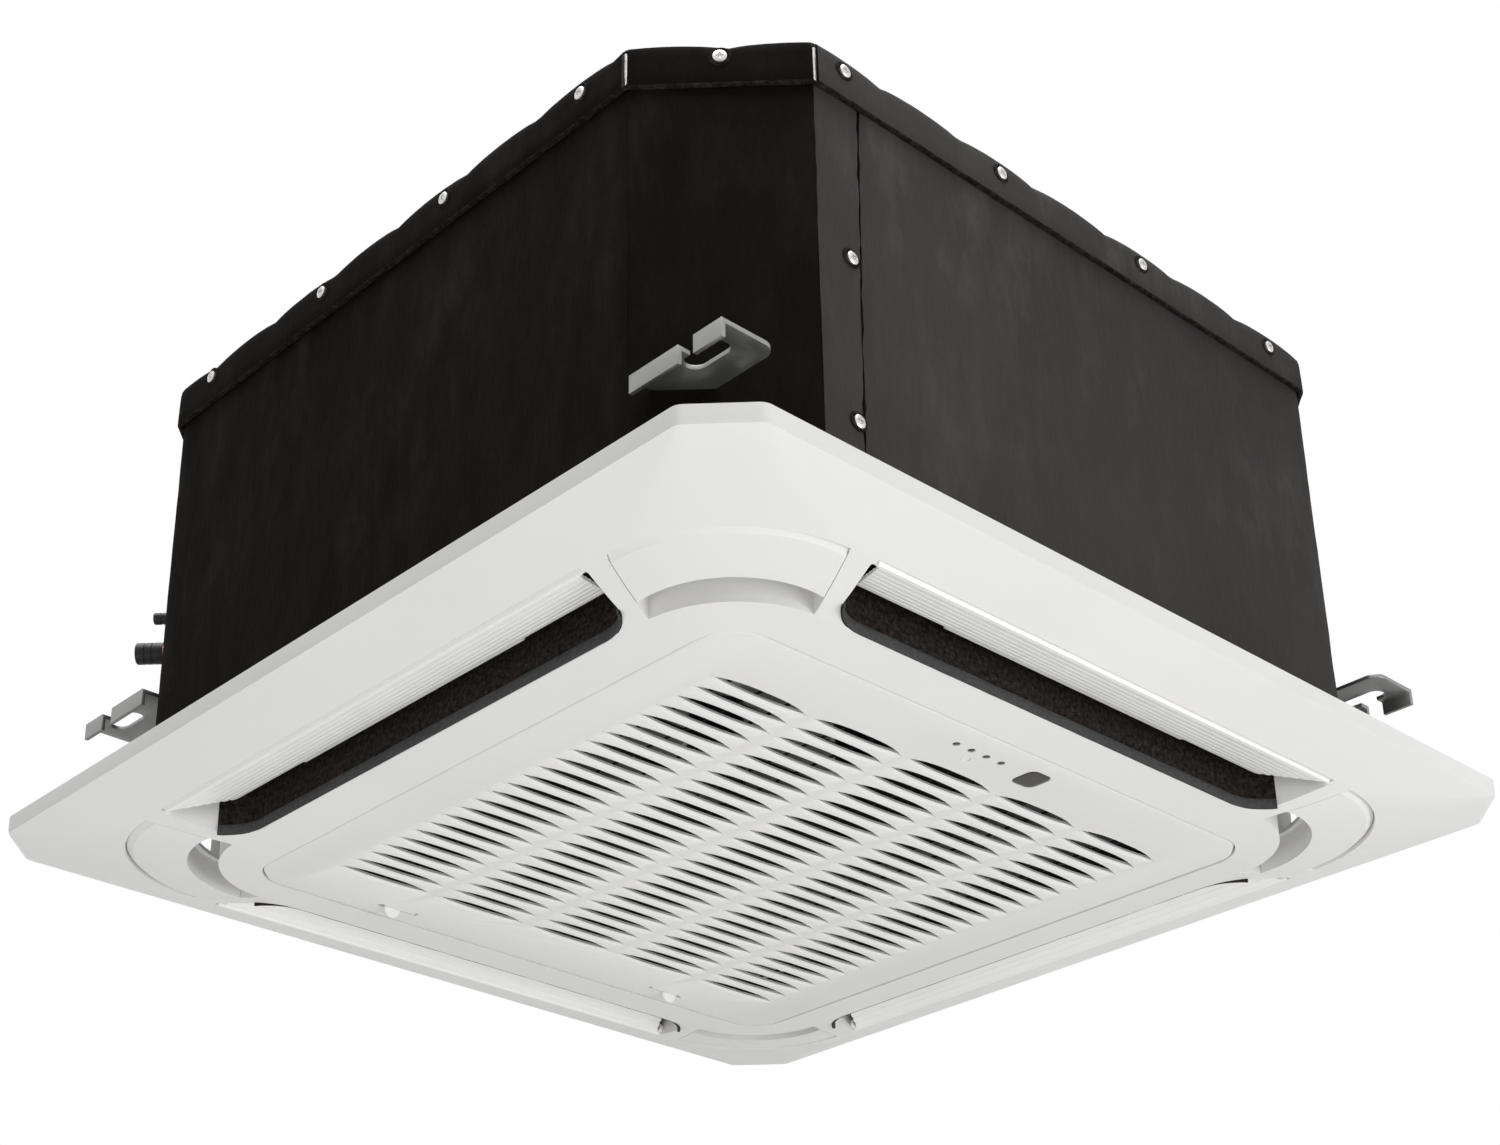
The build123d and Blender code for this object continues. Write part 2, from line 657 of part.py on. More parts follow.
with BuildPart() as cover_space:
    # free space above the cover's skin; walls stand along the arcs near the diagonal
    with BuildSketch(Plane.XY.offset(WALL_START)):
        add(corner_region(COVER_GAP, COVER_INNER_CENTRE, COVER_INNER_ARC))
        add(corner_band(DECK_BAND - RUNNING_GAP), mode=Mode.SUBTRACT)
        with Locations((COVER_CENTRE, COVER_CENTRE)):
            Circle(GROOVE_START, mode=Mode.INTERSECT)
        add(corner_region(-COVER_GROOVE_WIDTH, COVER_INNER_CENTRE, COVER_INNER_ARC - SKIN))
    extrude(amount=HUGE)
    with BuildSketch(Plane.XY.offset(cover_backing_z)):
        add(corner_region(COVER_GAP, COVER_INNER_CENTRE, COVER_INNER_ARC))
        add(corner_band(DECK_BAND - RUNNING_GAP), mode=Mode.SUBTRACT)
    extrude(amount=HUGE)
    add(panel_hollow.part, mode=Mode.INTERSECT)

with BuildPart() as cover_groove:
    with BuildSketch(Plane(origin=(COVER_CENTRE, COVER_CENTRE, 0), x_dir=(1, 0, 0), z_dir=(0, -1, 0))):
        groove_end = COVER_ARC + COVER_GAP
        Polygon(
            (GROOVE_START, cover_groove_z),
            (groove_end, cover_edge_z + COVER_GROOVE_DEPTH),
            (groove_end, WALL_START),
            (GROOVE_START, WALL_START),
        )
    revolve(axis=Axis((COVER_CENTRE, COVER_CENTRE, 0), (0, 0, 1)))

with BuildPart() as cover_pattern:
    with BuildSketch(Plane.XY.offset(WALL_START)):
        add(corner_region(0, COVER_INNER_CENTRE, COVER_INNER_ARC))
    extrude(amount=DECK_BOTTOM - WALL_START)
    add(panel_envelope.part, mode=Mode.INTERSECT)
    add(cover_space.part, mode=Mode.SUBTRACT)
    add(cover_groove.part, mode=Mode.SUBTRACT)
    # room for the head of the panel bolt
    with BuildSketch(Plane.XY.offset(DECK_BOTTOM)):
        with Locations((PANEL_BOLT_PLACE, PANEL_BOLT_PLACE)):
            Circle(PANEL_BOLT_HEAD + COVER_GAP)
    extrude(amount=-PANEL_BOLT_HEAD_HEIGHT - COVER_GAP, mode=Mode.SUBTRACT)

for corner, turn in zip(CORNERS, SIDES.values()):
    with BuildPart() as corner_cover:
        add(cover_pattern.part, rotation=(0, 0, turn))
    corner_cover.part.label = f"corner_cover_{corner}"
    export_step(corner_cover.part, f"parts/corner_cover_{corner}.step")

# ---------------------------------------------------------------- panel bolts and duct seals
with BuildPart() as panel_bolts:
    with BuildSketch(Plane.XY.offset(DECK_BOTTOM)):
        with Locations(bolt_places):
            RegularPolygon(PANEL_BOLT_HEAD, 6)
    extrude(amount=-PANEL_BOLT_HEAD_HEIGHT)
    with BuildSketch(Plane.XY.offset(DECK_BOTTOM)):
        with Locations(bolt_places):
            Circle(PANEL_BOLT_RADIUS)
    extrude(amount=PANEL_BOLT_END - DECK_BOTTOM)
panel_bolts.part.label = "panel_bolts"
export_step(panel_bolts.part, "parts/panel_bolts.step")

seal_outer = OUTLET_INNER - RUNNING_GAP
with BuildPart() as duct_seals:
    with BuildSketch(Plane.XY.offset(SEAL_BOTTOM)):
        with PolarLocations((BAR_INNER + seal_outer) / 2, 4):
            Rectangle(seal_outer - BAR_INNER, 2 * BAR_REACH)
    extrude(amount=BAR_BOTTOM - SEAL_BOTTOM)
duct_seals.part.label = "duct_seals"
export_step(duct_seals.part, "parts/duct_seals.step")

# ---------------------------------------------------------------- louvres and their motors
VANE_END = PIN_SEAT - RUNNING_GAP
louver_slope = (crown_z(LOUVER_OUTER) - crown_z(LOUVER_INNER)) / (LOUVER_OUTER - LOUVER_INNER)


def vane_z(x):
    """Height of the closed vane's lower face."""
    return crown_z(LOUVER_INNER) + louver_slope * (x - LOUVER_INNER)


vane_points = [(LOUVER_INNER, vane_z(LOUVER_INNER))]
rib_count = int((LOUVER_OUTER - LOUVER_INNER) / LOUVER_RIB_PITCH)
for rib in range(1, rib_count + 1):
    rib_x = LOUVER_INNER + rib * LOUVER_RIB_PITCH
    vane_points.append((rib_x - LOUVER_RIB_HEIGHT, vane_z(rib_x)))
    vane_points.append((rib_x, vane_z(rib_x) + LOUVER_RIB_HEIGHT))
    vane_points.append((rib_x + LOUVER_RIB_HEIGHT, vane_z(rib_x)))
vane_points.append((LOUVER_OUTER, vane_z(LOUVER_OUTER)))
vane_points.append((LOUVER_OUTER, vane_z(LOUVER_OUTER) + LOUVER_THICKNESS))
vane_points.append((LOUVER_INNER, vane_z(LOUVER_INNER) + LOUVER_THICKNESS))

with BuildPart() as louver_pattern:
    with BuildSketch(Plane.XZ):
        Polygon(*vane_points)
    extrude(amount=OUTLET_OUTER_REACH, both=True)
    with BuildSketch(Plane.XY.offset(WALL_START)):
        add(outlet_outline(-LOUVER_GAP))
        with Locations(((LOUVER_PIVOT + LOUVER_OUTER) / 2, 0)):
            Rectangle(LOUVER_OUTER - LOUVER_PIVOT, 2 * (VANE_END - EAR_THICKNESS / 3))
    extrude(amount=HUGE, mode=Mode.INTERSECT)
    for end in (1, -1):
        with BuildSketch(Plane.XZ.offset(-end * VANE_END)):
            with Locations((LOUVER_PIVOT, LOUVER_PIVOT_Z)):
                Circle(EAR_RADIUS)
        extrude(amount=end * EAR_THICKNESS)
        with BuildSketch(Plane.XZ.offset(-end * VANE_END)):
            with Locations((LOUVER_PIVOT, LOUVER_PIVOT_Z)):
                Circle(LOUVER_PIN_RADIUS)
        extrude(amount=-end * (PAD_THICKNESS + RUNNING_GAP))
louver_axis = Axis((LOUVER_PIVOT, 0, LOUVER_PIVOT_Z), (0, 1, 0))
louver_open = louver_pattern.part.rotate(louver_axis, LOUVER_REST_ANGLE)

with BuildPart() as louver_motor_pattern:
    with BuildSketch(Plane.XZ.offset(-MOTOR_CAN_START)):
        with Locations((MOTOR_CAN_X, MOTOR_CAN_Z)):
            Circle(MOTOR_CAN_RADIUS)
    extrude(amount=-MOTOR_CAN_LENGTH)
    with BuildSketch(Plane.XZ.offset(-MOTOR_CAN_START)):
        with Locations((LOUVER_PIVOT, LOUVER_PIVOT_Z)):
            Circle(MOTOR_SHAFT_RADIUS)
    extrude(amount=MOTOR_CAN_START - PIN_SEAT - PAD_THICKNESS - RUNNING_GAP)

for side, turn in SIDES.items():
    with BuildPart() as louver:
        add(louver_open, rotation=(0, 0, turn))
    louver.part.label = f"louver_{side}"
    export_step(louver.part, f"parts/louver_{side}.step")
    with BuildPart() as louver_motor:
        add(louver_motor_pattern.part, rotation=(0, 0, turn))
    louver_motor.part.label = f"louver_motor_{side}"
    export_step(louver_motor.part, f"parts/louver_motor_{side}.step")

# ---------------------------------------------------------------- intake grille
with BuildSketch() as slot_lens:
    with BuildLine():
        ThreePointArc((0, -SLOT_LENGTH / 2), (SLOT_WIDTH / 2, 0), (0, SLOT_LENGTH / 2))
        ThreePointArc((0, -SLOT_LENGTH / 2), (-SLOT_WIDTH / 2, 0), (0, SLOT_LENGTH / 2))
    make_face()

first_light = LIGHTS_Y - (LIGHT_COUNT - 1) / 2 * LIGHT_PITCH
light_places = [(LIGHTS_X, first_light + index * LIGHT_PITCH) for index in range(LIGHT_COUNT)]

with BuildPart() as intake_grille:
    with BuildSketch(Plane.XY.offset(GRILLE_BOTTOM)):
        add(opening_outline(GRILLE_HALF))
    plate = extrude(amount=GRILLE_THICKNESS)
    fillet(plate.faces().sort_by(Axis.Z)[0].edges(), GRILLE_EDGE)
    with BuildSketch(Plane.XY.offset(GRILLE_TOP)):
        add(opening_outline(SKIRT_HALF))
        add(opening_outline(SKIRT_HALF - SKIRT_WALL), mode=Mode.SUBTRACT)
    extrude(amount=SKIRT_TOP - GRILLE_TOP)
    with BuildSketch(Plane.XY.offset(GRILLE_BOTTOM)):
        with Locations((SLOT_FIELD_X, 0)):
            with GridLocations(SLOT_PITCH, SLOT_COLUMN_PITCH, SLOT_ROWS, SLOT_COLUMNS):
                add(slot_lens.sketch)
        with Locations(light_places):
            Circle(LIGHT_RADIUS + RUNNING_GAP)
        with Locations((WINDOW_X, WINDOW_Y)):
            RectangleRounded(WINDOW_LENGTH + RUNNING_GAP, WINDOW_WIDTH + RUNNING_GAP, WINDOW_ROUND)
        with Locations((BUTTON_X, BUTTON_Y)):
            Circle(BUTTON_RADIUS + RUNNING_GAP)
        # slits that the latches slide along
        slit = LATCH_TAB_LENGTH + LATCH_TRAVEL + 2 * RUNNING_GAP
        slit_y = LATCH_Y - LATCH_TRAVEL / 2
        with Locations((LATCH_X, slit_y), (LATCH_X, -slit_y)):
            Rectangle(LATCH_STEM + 2 * RUNNING_GAP, slit)
    extrude(amount=GRILLE_THICKNESS, mode=Mode.SUBTRACT)
    # slots in the skirt for the tongues of the latches
    with BuildSketch(Plane.YZ.offset(-SKIRT_HALF - SKIRT_WALL)):
        with Locations((slit_y, LATCH_POCKET_Z), (-slit_y, LATCH_POCKET_Z)):
            Rectangle(slit + 2 * LATCH_SLIT_GAP, LATCH_TONGUE + 2 * LATCH_SLIT_GAP)
    extrude(amount=3 * SKIRT_WALL, mode=Mode.SUBTRACT)
    # hinge pins
    for end in (1, -1):
        with BuildSketch(Plane.XZ.offset(-end * HINGE_PIN_START)):
            with Locations((HINGE_X, HINGE_Z)):
                Circle(HINGE_PIN_RADIUS)
        extrude(amount=-end * (HINGE_PIN_END - HINGE_PIN_START))
    # pegs that carry the filter
    with BuildSketch(Plane.XY.offset(GRILLE_TOP)):
        with GridLocations(2 * PEG_PLACE, 2 * PEG_PLACE, 2, 2):
            Circle(PEG_RADIUS)
    extrude(amount=FILTER_BOTTOM - GRILLE_TOP)
intake_grille.part.label = "intake_grille"
export_step(intake_grille.part, "parts/intake_grille.step")

with BuildPart() as air_filter:
    net_half = FILTER_HALF - FILTER_RIM
    gap_pitch = 2 * net_half / FILTER_GAPS
    with BuildSketch(Plane.XY.offset(FILTER_BOTTOM)):
        Rectangle(2 * FILTER_HALF, 2 * FILTER_HALF)
        Rectangle(2 * net_half, 2 * net_half, mode=Mode.SUBTRACT)
    extrude(amount=FILTER_TOP - FILTER_BOTTOM)
    with BuildSketch(Plane.XY.offset(FILTER_BOTTOM)):
        Rectangle(2 * net_half, 2 * net_half)
        with GridLocations(gap_pitch, gap_pitch, FILTER_GAPS, FILTER_GAPS):
            Rectangle(gap_pitch - FILTER_THREAD, gap_pitch - FILTER_THREAD, mode=Mode.SUBTRACT)
    extrude(amount=FILTER_THREAD)
air_filter.part.label = "air_filter"
export_step(air_filter.part, "parts/air_filter.step")

# ---------------------------------------------------------------- lights, receiver, button and board
BOARD_BOTTOM = GRILLE_TOP + BUTTON_TRAVEL + BUTTON_SWITCH_GAP
display_low = LIGHTS_Y - DISPLAY_LOW_REACH
display_high = WINDOW_Y + DISPLAY_HIGH_REACH
display_centre = (LIGHTS_X - DISPLAY_SHIFT, (display_low + display_high) / 2)
with BuildPart() as display_board:
    with BuildSketch(Plane.XY.offset(BOARD_BOTTOM)):
        with Locations(display_centre):
            Rectangle(DISPLAY_WIDTH, display_high - display_low)
    extrude(amount=BOARD_THICKNESS)
    # posts to the grille plate
    with BuildSketch(Plane.XY.offset(GRILLE_TOP)):
        with Locations(display_centre):
            with GridLocations(1, display_high - display_low - 2 * DISPLAY_POST_INSET, 1, 2):
                Circle(DISPLAY_POST_RADIUS)
    extrude(amount=BOARD_BOTTOM - GRILLE_TOP)
display_board.part.label = "display_board"
export_step(display_board.part, "parts/display_board.step")

with BuildPart() as status_lights:
    with BuildSketch(Plane.XY.offset(BOARD_BOTTOM)):
        with Locations(light_places):
            Circle(LIGHT_RADIUS)
    extrude(amount=GRILLE_BOTTOM - BOARD_BOTTOM)
status_lights.part.label = "status_lights"
export_step(status_lights.part, "parts/status_lights.step")

with BuildPart() as receiver_window:
    with BuildSketch(Plane.XY.offset(GRILLE_BOTTOM)):
        with Locations((WINDOW_X, WINDOW_Y)):
            RectangleRounded(WINDOW_LENGTH, WINDOW_WIDTH, WINDOW_ROUND)
    extrude(amount=BOARD_BOTTOM - GRILLE_BOTTOM)
receiver_window.part.label = "receiver_window"
export_step(receiver_window.part, "parts/receiver_window.step")

with BuildPart() as manual_button:
    with BuildSketch(Plane.XY.offset(GRILLE_BOTTOM)):
        with Locations((BUTTON_X, BUTTON_Y)):
            Circle(BUTTON_RADIUS)
    extrude(amount=BOARD_BOTTOM - BUTTON_TRAVEL - RUNNING_GAP - GRILLE_BOTTOM)
    with BuildSketch(Plane.XY.offset(GRILLE_TOP + RUNNING_GAP)):
        with Locations((BUTTON_X, BUTTON_Y)):
            Circle(BUTTON_RADIUS + BUTTON_RIM)
    extrude(amount=BUTTON_RIM_THICKNESS)
manual_button.part.label = "manual_button"
export_step(manual_button.part, "parts/manual_button.step")

# ---------------------------------------------------------------- latches
for side, end in {"back": 1, "front": -1}.items():
    with BuildPart() as latch:
        # half-round thumb tab below the plate, stem through the slit, tongue towards the frame
        with BuildSketch(Plane.YZ.offset(LATCH_X - LATCH_TAB_THICKNESS / 2)):
            with Locations((end * LATCH_Y, GRILLE_BOTTOM - RUNNING_GAP)):
                Circle(LATCH_TAB_LENGTH / 2)
                above = (Align.CENTER, Align.MIN)
                Rectangle(LATCH_TAB_LENGTH, LATCH_TAB_LENGTH, align=above, mode=Mode.SUBTRACT)
        extrude(amount=LATCH_TAB_THICKNESS)
        with BuildSketch(Plane.XY.offset(GRILLE_BOTTOM - RUNNING_GAP)):
            with Locations((LATCH_X, end * LATCH_Y)):
                Rectangle(LATCH_STEM, LATCH_TAB_LENGTH - 2 * LATCH_STEM_INSET)
        extrude(amount=LATCH_POCKET_Z - LATCH_TONGUE / 2 - GRILLE_BOTTOM + RUNNING_GAP)
        tongue_start = -SKIRT_HALF - SKIRT_WALL
        tongue_end = LATCH_X + LATCH_TAB_THICKNESS * 2
        with BuildSketch(Plane.XY.offset(LATCH_POCKET_Z - LATCH_TONGUE / 2)):
            with Locations(((tongue_start + tongue_end) / 2, end * LATCH_Y)):
                Rectangle(tongue_end - tongue_start, LATCH_TAB_LENGTH - 2 * LATCH_STEM_INSET)
        extrude(amount=LATCH_TONGUE)
    latch.part.label = f"latch_{side}"
    export_step(latch.part, f"parts/latch_{side}.step")

# ---------------------------------------------------------------- casing, top plate and jacket
tab_planes = [chamfer_plane(signs, CHAMFER_CASING, TAB_BOLT_Z) for signs in CORNERS.values()]
tab_hole = TAB_BOLT_RADIUS + BOLT_CLEARANCE
pipe_plane = chamfer_plane(CORNERS["front_left"], CHAMFER_CASING, 0)
pipe_window_height = PIPE_PLATE_HIGH - PIPE_PLATE_LOW - 2 * PIPE_WINDOW_MARGIN
pipe_window_width = PIPE_PLATE_WIDTH - 2 * PIPE_WINDOW_MARGIN
pipe_window_z = (PIPE_PLATE_HIGH + PIPE_PLATE_LOW) / 2


def pipe_window(width, height, start, end):
    """Box through the pipe corner between two distances from the casing's face."""
    with BuildPart(mode=Mode.PRIVATE) as window:
        with BuildSketch(pipe_plane.offset(start)):
            with Locations((0, pipe_window_z)):
                Rectangle(width, height)
        extrude(amount=end - start)
    return window.part


def stub_round(radius, start, end):
    """Round solid on the drain stub's axis, between two distances from the centre."""
    with BuildPart(mode=Mode.PRIVATE) as cutter:
        with BuildSketch(Plane.YZ.offset(-end)):
            with Locations((STUB_Y, STUB_Z)):
                Circle(radius)
        extrude(amount=end - start)
    return cutter.part


with BuildPart() as casing:
    with BuildSketch(Plane.XY.offset(BODY_BOTTOM)):
        add(body_outline(CASING_HALF))
        add(body_outline(CASING_HALF - SHEET), mode=Mode.SUBTRACT)
    extrude(amount=CASING_TOP - BODY_BOTTOM)
    # bottom flange and the corner gussets that take the panel bolts
    with BuildSketch(Plane.XY.offset(BODY_BOTTOM)):
        add(body_outline(CASING_HALF))
        with PolarLocations(0, 4):
            half_hole = CASING_HALF - FLANGE_WIDTH
            gusset = GUSSET_LINE - half_hole
            Polygon(
                (half_hole, gusset),
                (gusset, half_hole),
                (-gusset, half_hole),
                (-half_hole, gusset),
                (-half_hole, -gusset),
                (-gusset, -half_hole),
                (gusset, -half_hole),
                (half_hole, -gusset),
                mode=Mode.SUBTRACT,
            )
        with Locations(bolt_places):
            Circle(PANEL_BOLT_RADIUS + BOLT_CLEARANCE, mode=Mode.SUBTRACT)
    extrude(amount=SHEET)
    for plane in tab_planes:
        with BuildSketch(plane.offset(-2 * SHEET)):
            with Locations((TAB_BOLT_SPACING / 2, 0), (-TAB_BOLT_SPACING / 2, 0)):
                Circle(tab_hole)
        extrude(amount=3 * SHEET, mode=Mode.SUBTRACT)
    add(pipe_window(pipe_window_width, pipe_window_height, -3 * SHEET, JACKET), mode=Mode.SUBTRACT)
    add(stub_round(STUB_RADIUS + RUNNING_GAP, STUB_INNER, STUB_END), mode=Mode.SUBTRACT)
    for cutter in cap_holes + side_holes:
        add(cutter, mode=Mode.SUBTRACT)
casing.part.label = "casing"
export_step(casing.part, "parts/casing.step")

with BuildPart() as top_plate:
    with BuildSketch(Plane.XY.offset(CASING_TOP)):
        add(body_outline(CAP_INSIDE))
    extrude(amount=SHEET)
    with BuildSketch(Plane.XY.offset(SKIRT_BOTTOM)):
        add(body_outline(CAP_INSIDE))
        add(body_outline(SKIRT_INSIDE), mode=Mode.SUBTRACT)
    extrude(amount=CASING_TOP - SKIRT_BOTTOM)
    for cutter in cap_holes:
        add(cutter, mode=Mode.SUBTRACT)
top_plate.part.label = "top_plate"
export_step(top_plate.part, "parts/top_plate.step")

with BuildPart() as top_insulation:
    with BuildSketch(Plane.XY.offset(CAP_BOTTOM)):
        add(body_outline(CAP_HALF))
    extrude(amount=CAP_TOP_Z - CAP_BOTTOM)
    with BuildSketch(Plane.XY.offset(CAP_BOTTOM)):
        add(body_outline(CAP_INSIDE))
    extrude(amount=TOP_PLATE_TOP - CAP_BOTTOM, mode=Mode.SUBTRACT)
    for cutter in cap_holes:
        add(cutter, mode=Mode.SUBTRACT)
top_insulation.part.label = "top_insulation"
export_step(top_insulation.part, "parts/top_insulation.step")

with BuildPart() as jacket:
    with BuildSketch(Plane.XY.offset(BODY_BOTTOM)):
        add(body_outline(JACKET_HALF))
        add(body_outline(CASING_HALF), mode=Mode.SUBTRACT)
    extrude(amount=CASING_TOP - BODY_BOTTOM)
    for cutter in cap_holes + side_holes:
        add(cutter, mode=Mode.SUBTRACT)
    add(stub_round(STUB_RADIUS + RUNNING_GAP, STUB_INNER, STUB_END), mode=Mode.SUBTRACT)

side_reach = JACKET_HALF - CASING_LEG - LEG_STEP * JACKET
for side, turn in SIDES.items():
    with BuildPart() as side_pad:
        add(jacket.part)
        with BuildSketch(Plane.XY.offset(BODY_BOTTOM)):
            with Locations(Location((0, 0, 0), (0, 0, turn))):
                Rectangle(JACKET_HALF + 1, 2 * side_reach, align=(Align.MIN, Align.CENTER))
        extrude(amount=CASING_TOP - BODY_BOTTOM, mode=Mode.INTERSECT)
    side_pad.part.label = f"side_pad_{side}"
    export_step(side_pad.part, f"parts/side_pad_{side}.step")

with BuildPart() as corner_pads:
    add(jacket.part)
    with BuildSketch(Plane.XY.offset(BODY_BOTTOM)):
        Rectangle(2 * JACKET_HALF + 2, 2 * side_reach)
        Rectangle(2 * side_reach, 2 * JACKET_HALF + 2)
    extrude(amount=CASING_TOP - BODY_BOTTOM, mode=Mode.SUBTRACT)
    # room for the bracket plates, their tabs and the heads of their bolts
    with BuildSketch(Plane.XY.offset(BRACKET_Z - RUNNING_GAP)):
        Rectangle(2 * JACKET_HALF, 2 * JACKET_HALF)
    extrude(amount=BRACKET_THICKNESS + 2 * RUNNING_GAP, mode=Mode.SUBTRACT)
    for plane in tab_planes:
        with BuildSketch(plane):
            with Locations((0, (TAB_BOTTOM + BRACKET_Z) / 2 - TAB_BOLT_Z)):
                Rectangle(TAB_WIDTH + 2 * RUNNING_GAP, BRACKET_Z - TAB_BOTTOM + 2 * RUNNING_GAP)
        extrude(amount=BRACKET_THICKNESS + RUNNING_GAP, mode=Mode.SUBTRACT)
        with BuildSketch(plane):
            with Locations((TAB_BOLT_SPACING / 2, 0), (-TAB_BOLT_SPACING / 2, 0)):
                Circle(TAB_BOLT_HEAD + RUNNING_GAP)
        extrude(amount=2 * JACKET, mode=Mode.SUBTRACT)
    plate_room = (PIPE_PLATE_WIDTH + 2 * RUNNING_GAP, PIPE_PLATE_HIGH - PIPE_PLATE_LOW + 2 * RUNNING_GAP)
    add(pipe_window(*plate_room, 0, 2 * JACKET), mode=Mode.SUBTRACT)
corner_pads.part.label = "corner_pads"
export_step(corner_pads.part, "parts/corner_pads.step")

with BuildPart() as cap_screws:
    for plane in screw_planes(CAP_HALF - JACKET_HALF):
        with BuildSketch(plane):
            Circle(CAP_SCREW_HEAD)
        extrude(amount=CAP_SCREW_HEAD_HEIGHT, taper=15)
        with BuildSketch(plane):
            Circle(CAP_SCREW_RADIUS)
        extrude(amount=-(CAP_HALF - CASING_HALF + SHEET))
    for plane in side_screw_planes(0):
        with BuildSketch(plane):
            Circle(CAP_SCREW_HEAD)
        extrude(amount=CAP_SCREW_HEAD_HEIGHT, taper=15)
        with BuildSketch(plane):
            Circle(CAP_SCREW_RADIUS)
        extrude(amount=-(JACKET + SHEET))
cap_screws.part.label = "cap_screws"
export_step(cap_screws.part, "parts/cap_screws.step")

# ---------------------------------------------------------------- hanger brackets
chamfer_sum = CHAMFER_CASING * sqrt(2)
for corner, signs in CORNERS.items():
    sign_x, sign_y = signs
    plate_points = [
        (BRACKET_START, BRACKET_OUTER),
        (BRACKET_OUTER, BRACKET_OUTER),
        (BRACKET_OUTER, BRACKET_SIDE_END),
        (chamfer_sum - BRACKET_SIDE_END, BRACKET_SIDE_END),
        (BRACKET_START, chamfer_sum - BRACKET_START),
    ]
    with BuildPart() as hanger_bracket:
        with BuildSketch(Plane.XY.offset(BRACKET_Z)):
            Polygon(*[(sign_x * x, sign_y * y) for x, y in plate_points])
            side_corner = (sign_x * BRACKET_OUTER, sign_y * BRACKET_SIDE_END)
        extrude(amount=BRACKET_THICKNESS)
        upright = hanger_bracket.edges().filter_by(Axis.Z)
        rounded = upright.sort_by_distance((*side_corner, BRACKET_Z + BRACKET_THICKNESS / 2))[0]
        fillet(rounded, BRACKET_ROUND)
        # lip folded down along the outer edge
        lip_width = BRACKET_OUTER - BRACKET_START
        lip_x = BRACKET_START + lip_width / 2
        lip_y = BRACKET_OUTER - BRACKET_THICKNESS / 2
        with BuildSketch(Plane.XY.offset(BRACKET_Z)):
            with Locations((sign_x * lip_x, sign_y * lip_y)):
                Rectangle(lip_width, BRACKET_THICKNESS)
        extrude(amount=-BRACKET_LIP)
        # tab against the casing
        plane = chamfer_plane(signs, CHAMFER_CASING, TAB_BOLT_Z)
        with BuildSketch(plane):
            with Locations((0, (TAB_BOTTOM + BRACKET_Z) / 2 - TAB_BOLT_Z)):
                Rectangle(TAB_WIDTH, BRACKET_Z - TAB_BOTTOM)
        extrude(amount=BRACKET_THICKNESS)
        with BuildSketch(plane):
            with Locations((TAB_BOLT_SPACING / 2, 0), (-TAB_BOLT_SPACING / 2, 0)):
                Circle(tab_hole)
        extrude(amount=JACKET, mode=Mode.SUBTRACT)
        # slot for the hanging bolt, open to the outer edge
        with BuildSketch(Plane.XY.offset(BRACKET_Z - BRACKET_LIP)):
            with Locations((sign_x * SLOT_X, sign_y * SLOT_Y)):
                SlotOverall(HANGER_SLOT_LENGTH, HANGER_SLOT_WIDTH)
                reach = BRACKET_OUTER - SLOT_Y + BRACKET_THICKNESS
                align_y = Align.MIN if sign_y > 0 else Align.MAX
                Rectangle(HANGER_MOUTH, reach, align=(Align.CENTER, align_y))
        extrude(amount=2 * BRACKET_LIP, mode=Mode.SUBTRACT)
    hanger_bracket.part.label = f"hanger_bracket_{corner}"
    export_step(hanger_bracket.part, f"parts/hanger_bracket_{corner}.step")

with BuildPart() as bracket_bolts:
    for plane in tab_planes:
        with BuildSketch(plane.offset(BRACKET_THICKNESS)):
            with Locations((TAB_BOLT_SPACING / 2, 0), (-TAB_BOLT_SPACING / 2, 0)):
                RegularPolygon(TAB_BOLT_HEAD, 6)
        extrude(amount=TAB_BOLT_HEAD_HEIGHT)
        with BuildSketch(plane.offset(BRACKET_THICKNESS)):
            with Locations((TAB_BOLT_SPACING / 2, 0), (-TAB_BOLT_SPACING / 2, 0)):
                Circle(TAB_BOLT_RADIUS)
        extrude(amount=-(BRACKET_THICKNESS + SHEET))
bracket_bolts.part.label = "bracket_bolts"
export_step(bracket_bolts.part, "parts/bracket_bolts.step")

# ---------------------------------------------------------------- foam liner and drain pan
with BuildPart() as air_liner:
    with BuildSketch(Plane.XY.offset(PAN_TOP)):
        add(body_outline(LINER_HALF))
        add(body_outline(LINER_INSIDE), mode=Mode.SUBTRACT)
    extrude(amount=CASING_TOP - PAN_TOP)
    add(pipe_window(pipe_window_width, pipe_window_height, -3 * LINER_WALL, 0), mode=Mode.SUBTRACT)
    add(stub_round(STUB_RADIUS + RUNNING_GAP, LINER_INSIDE - 1, STUB_END), mode=Mode.SUBTRACT)
air_liner.part.label = "air_liner"
export_step(air_liner.part, "parts/air_liner.step")

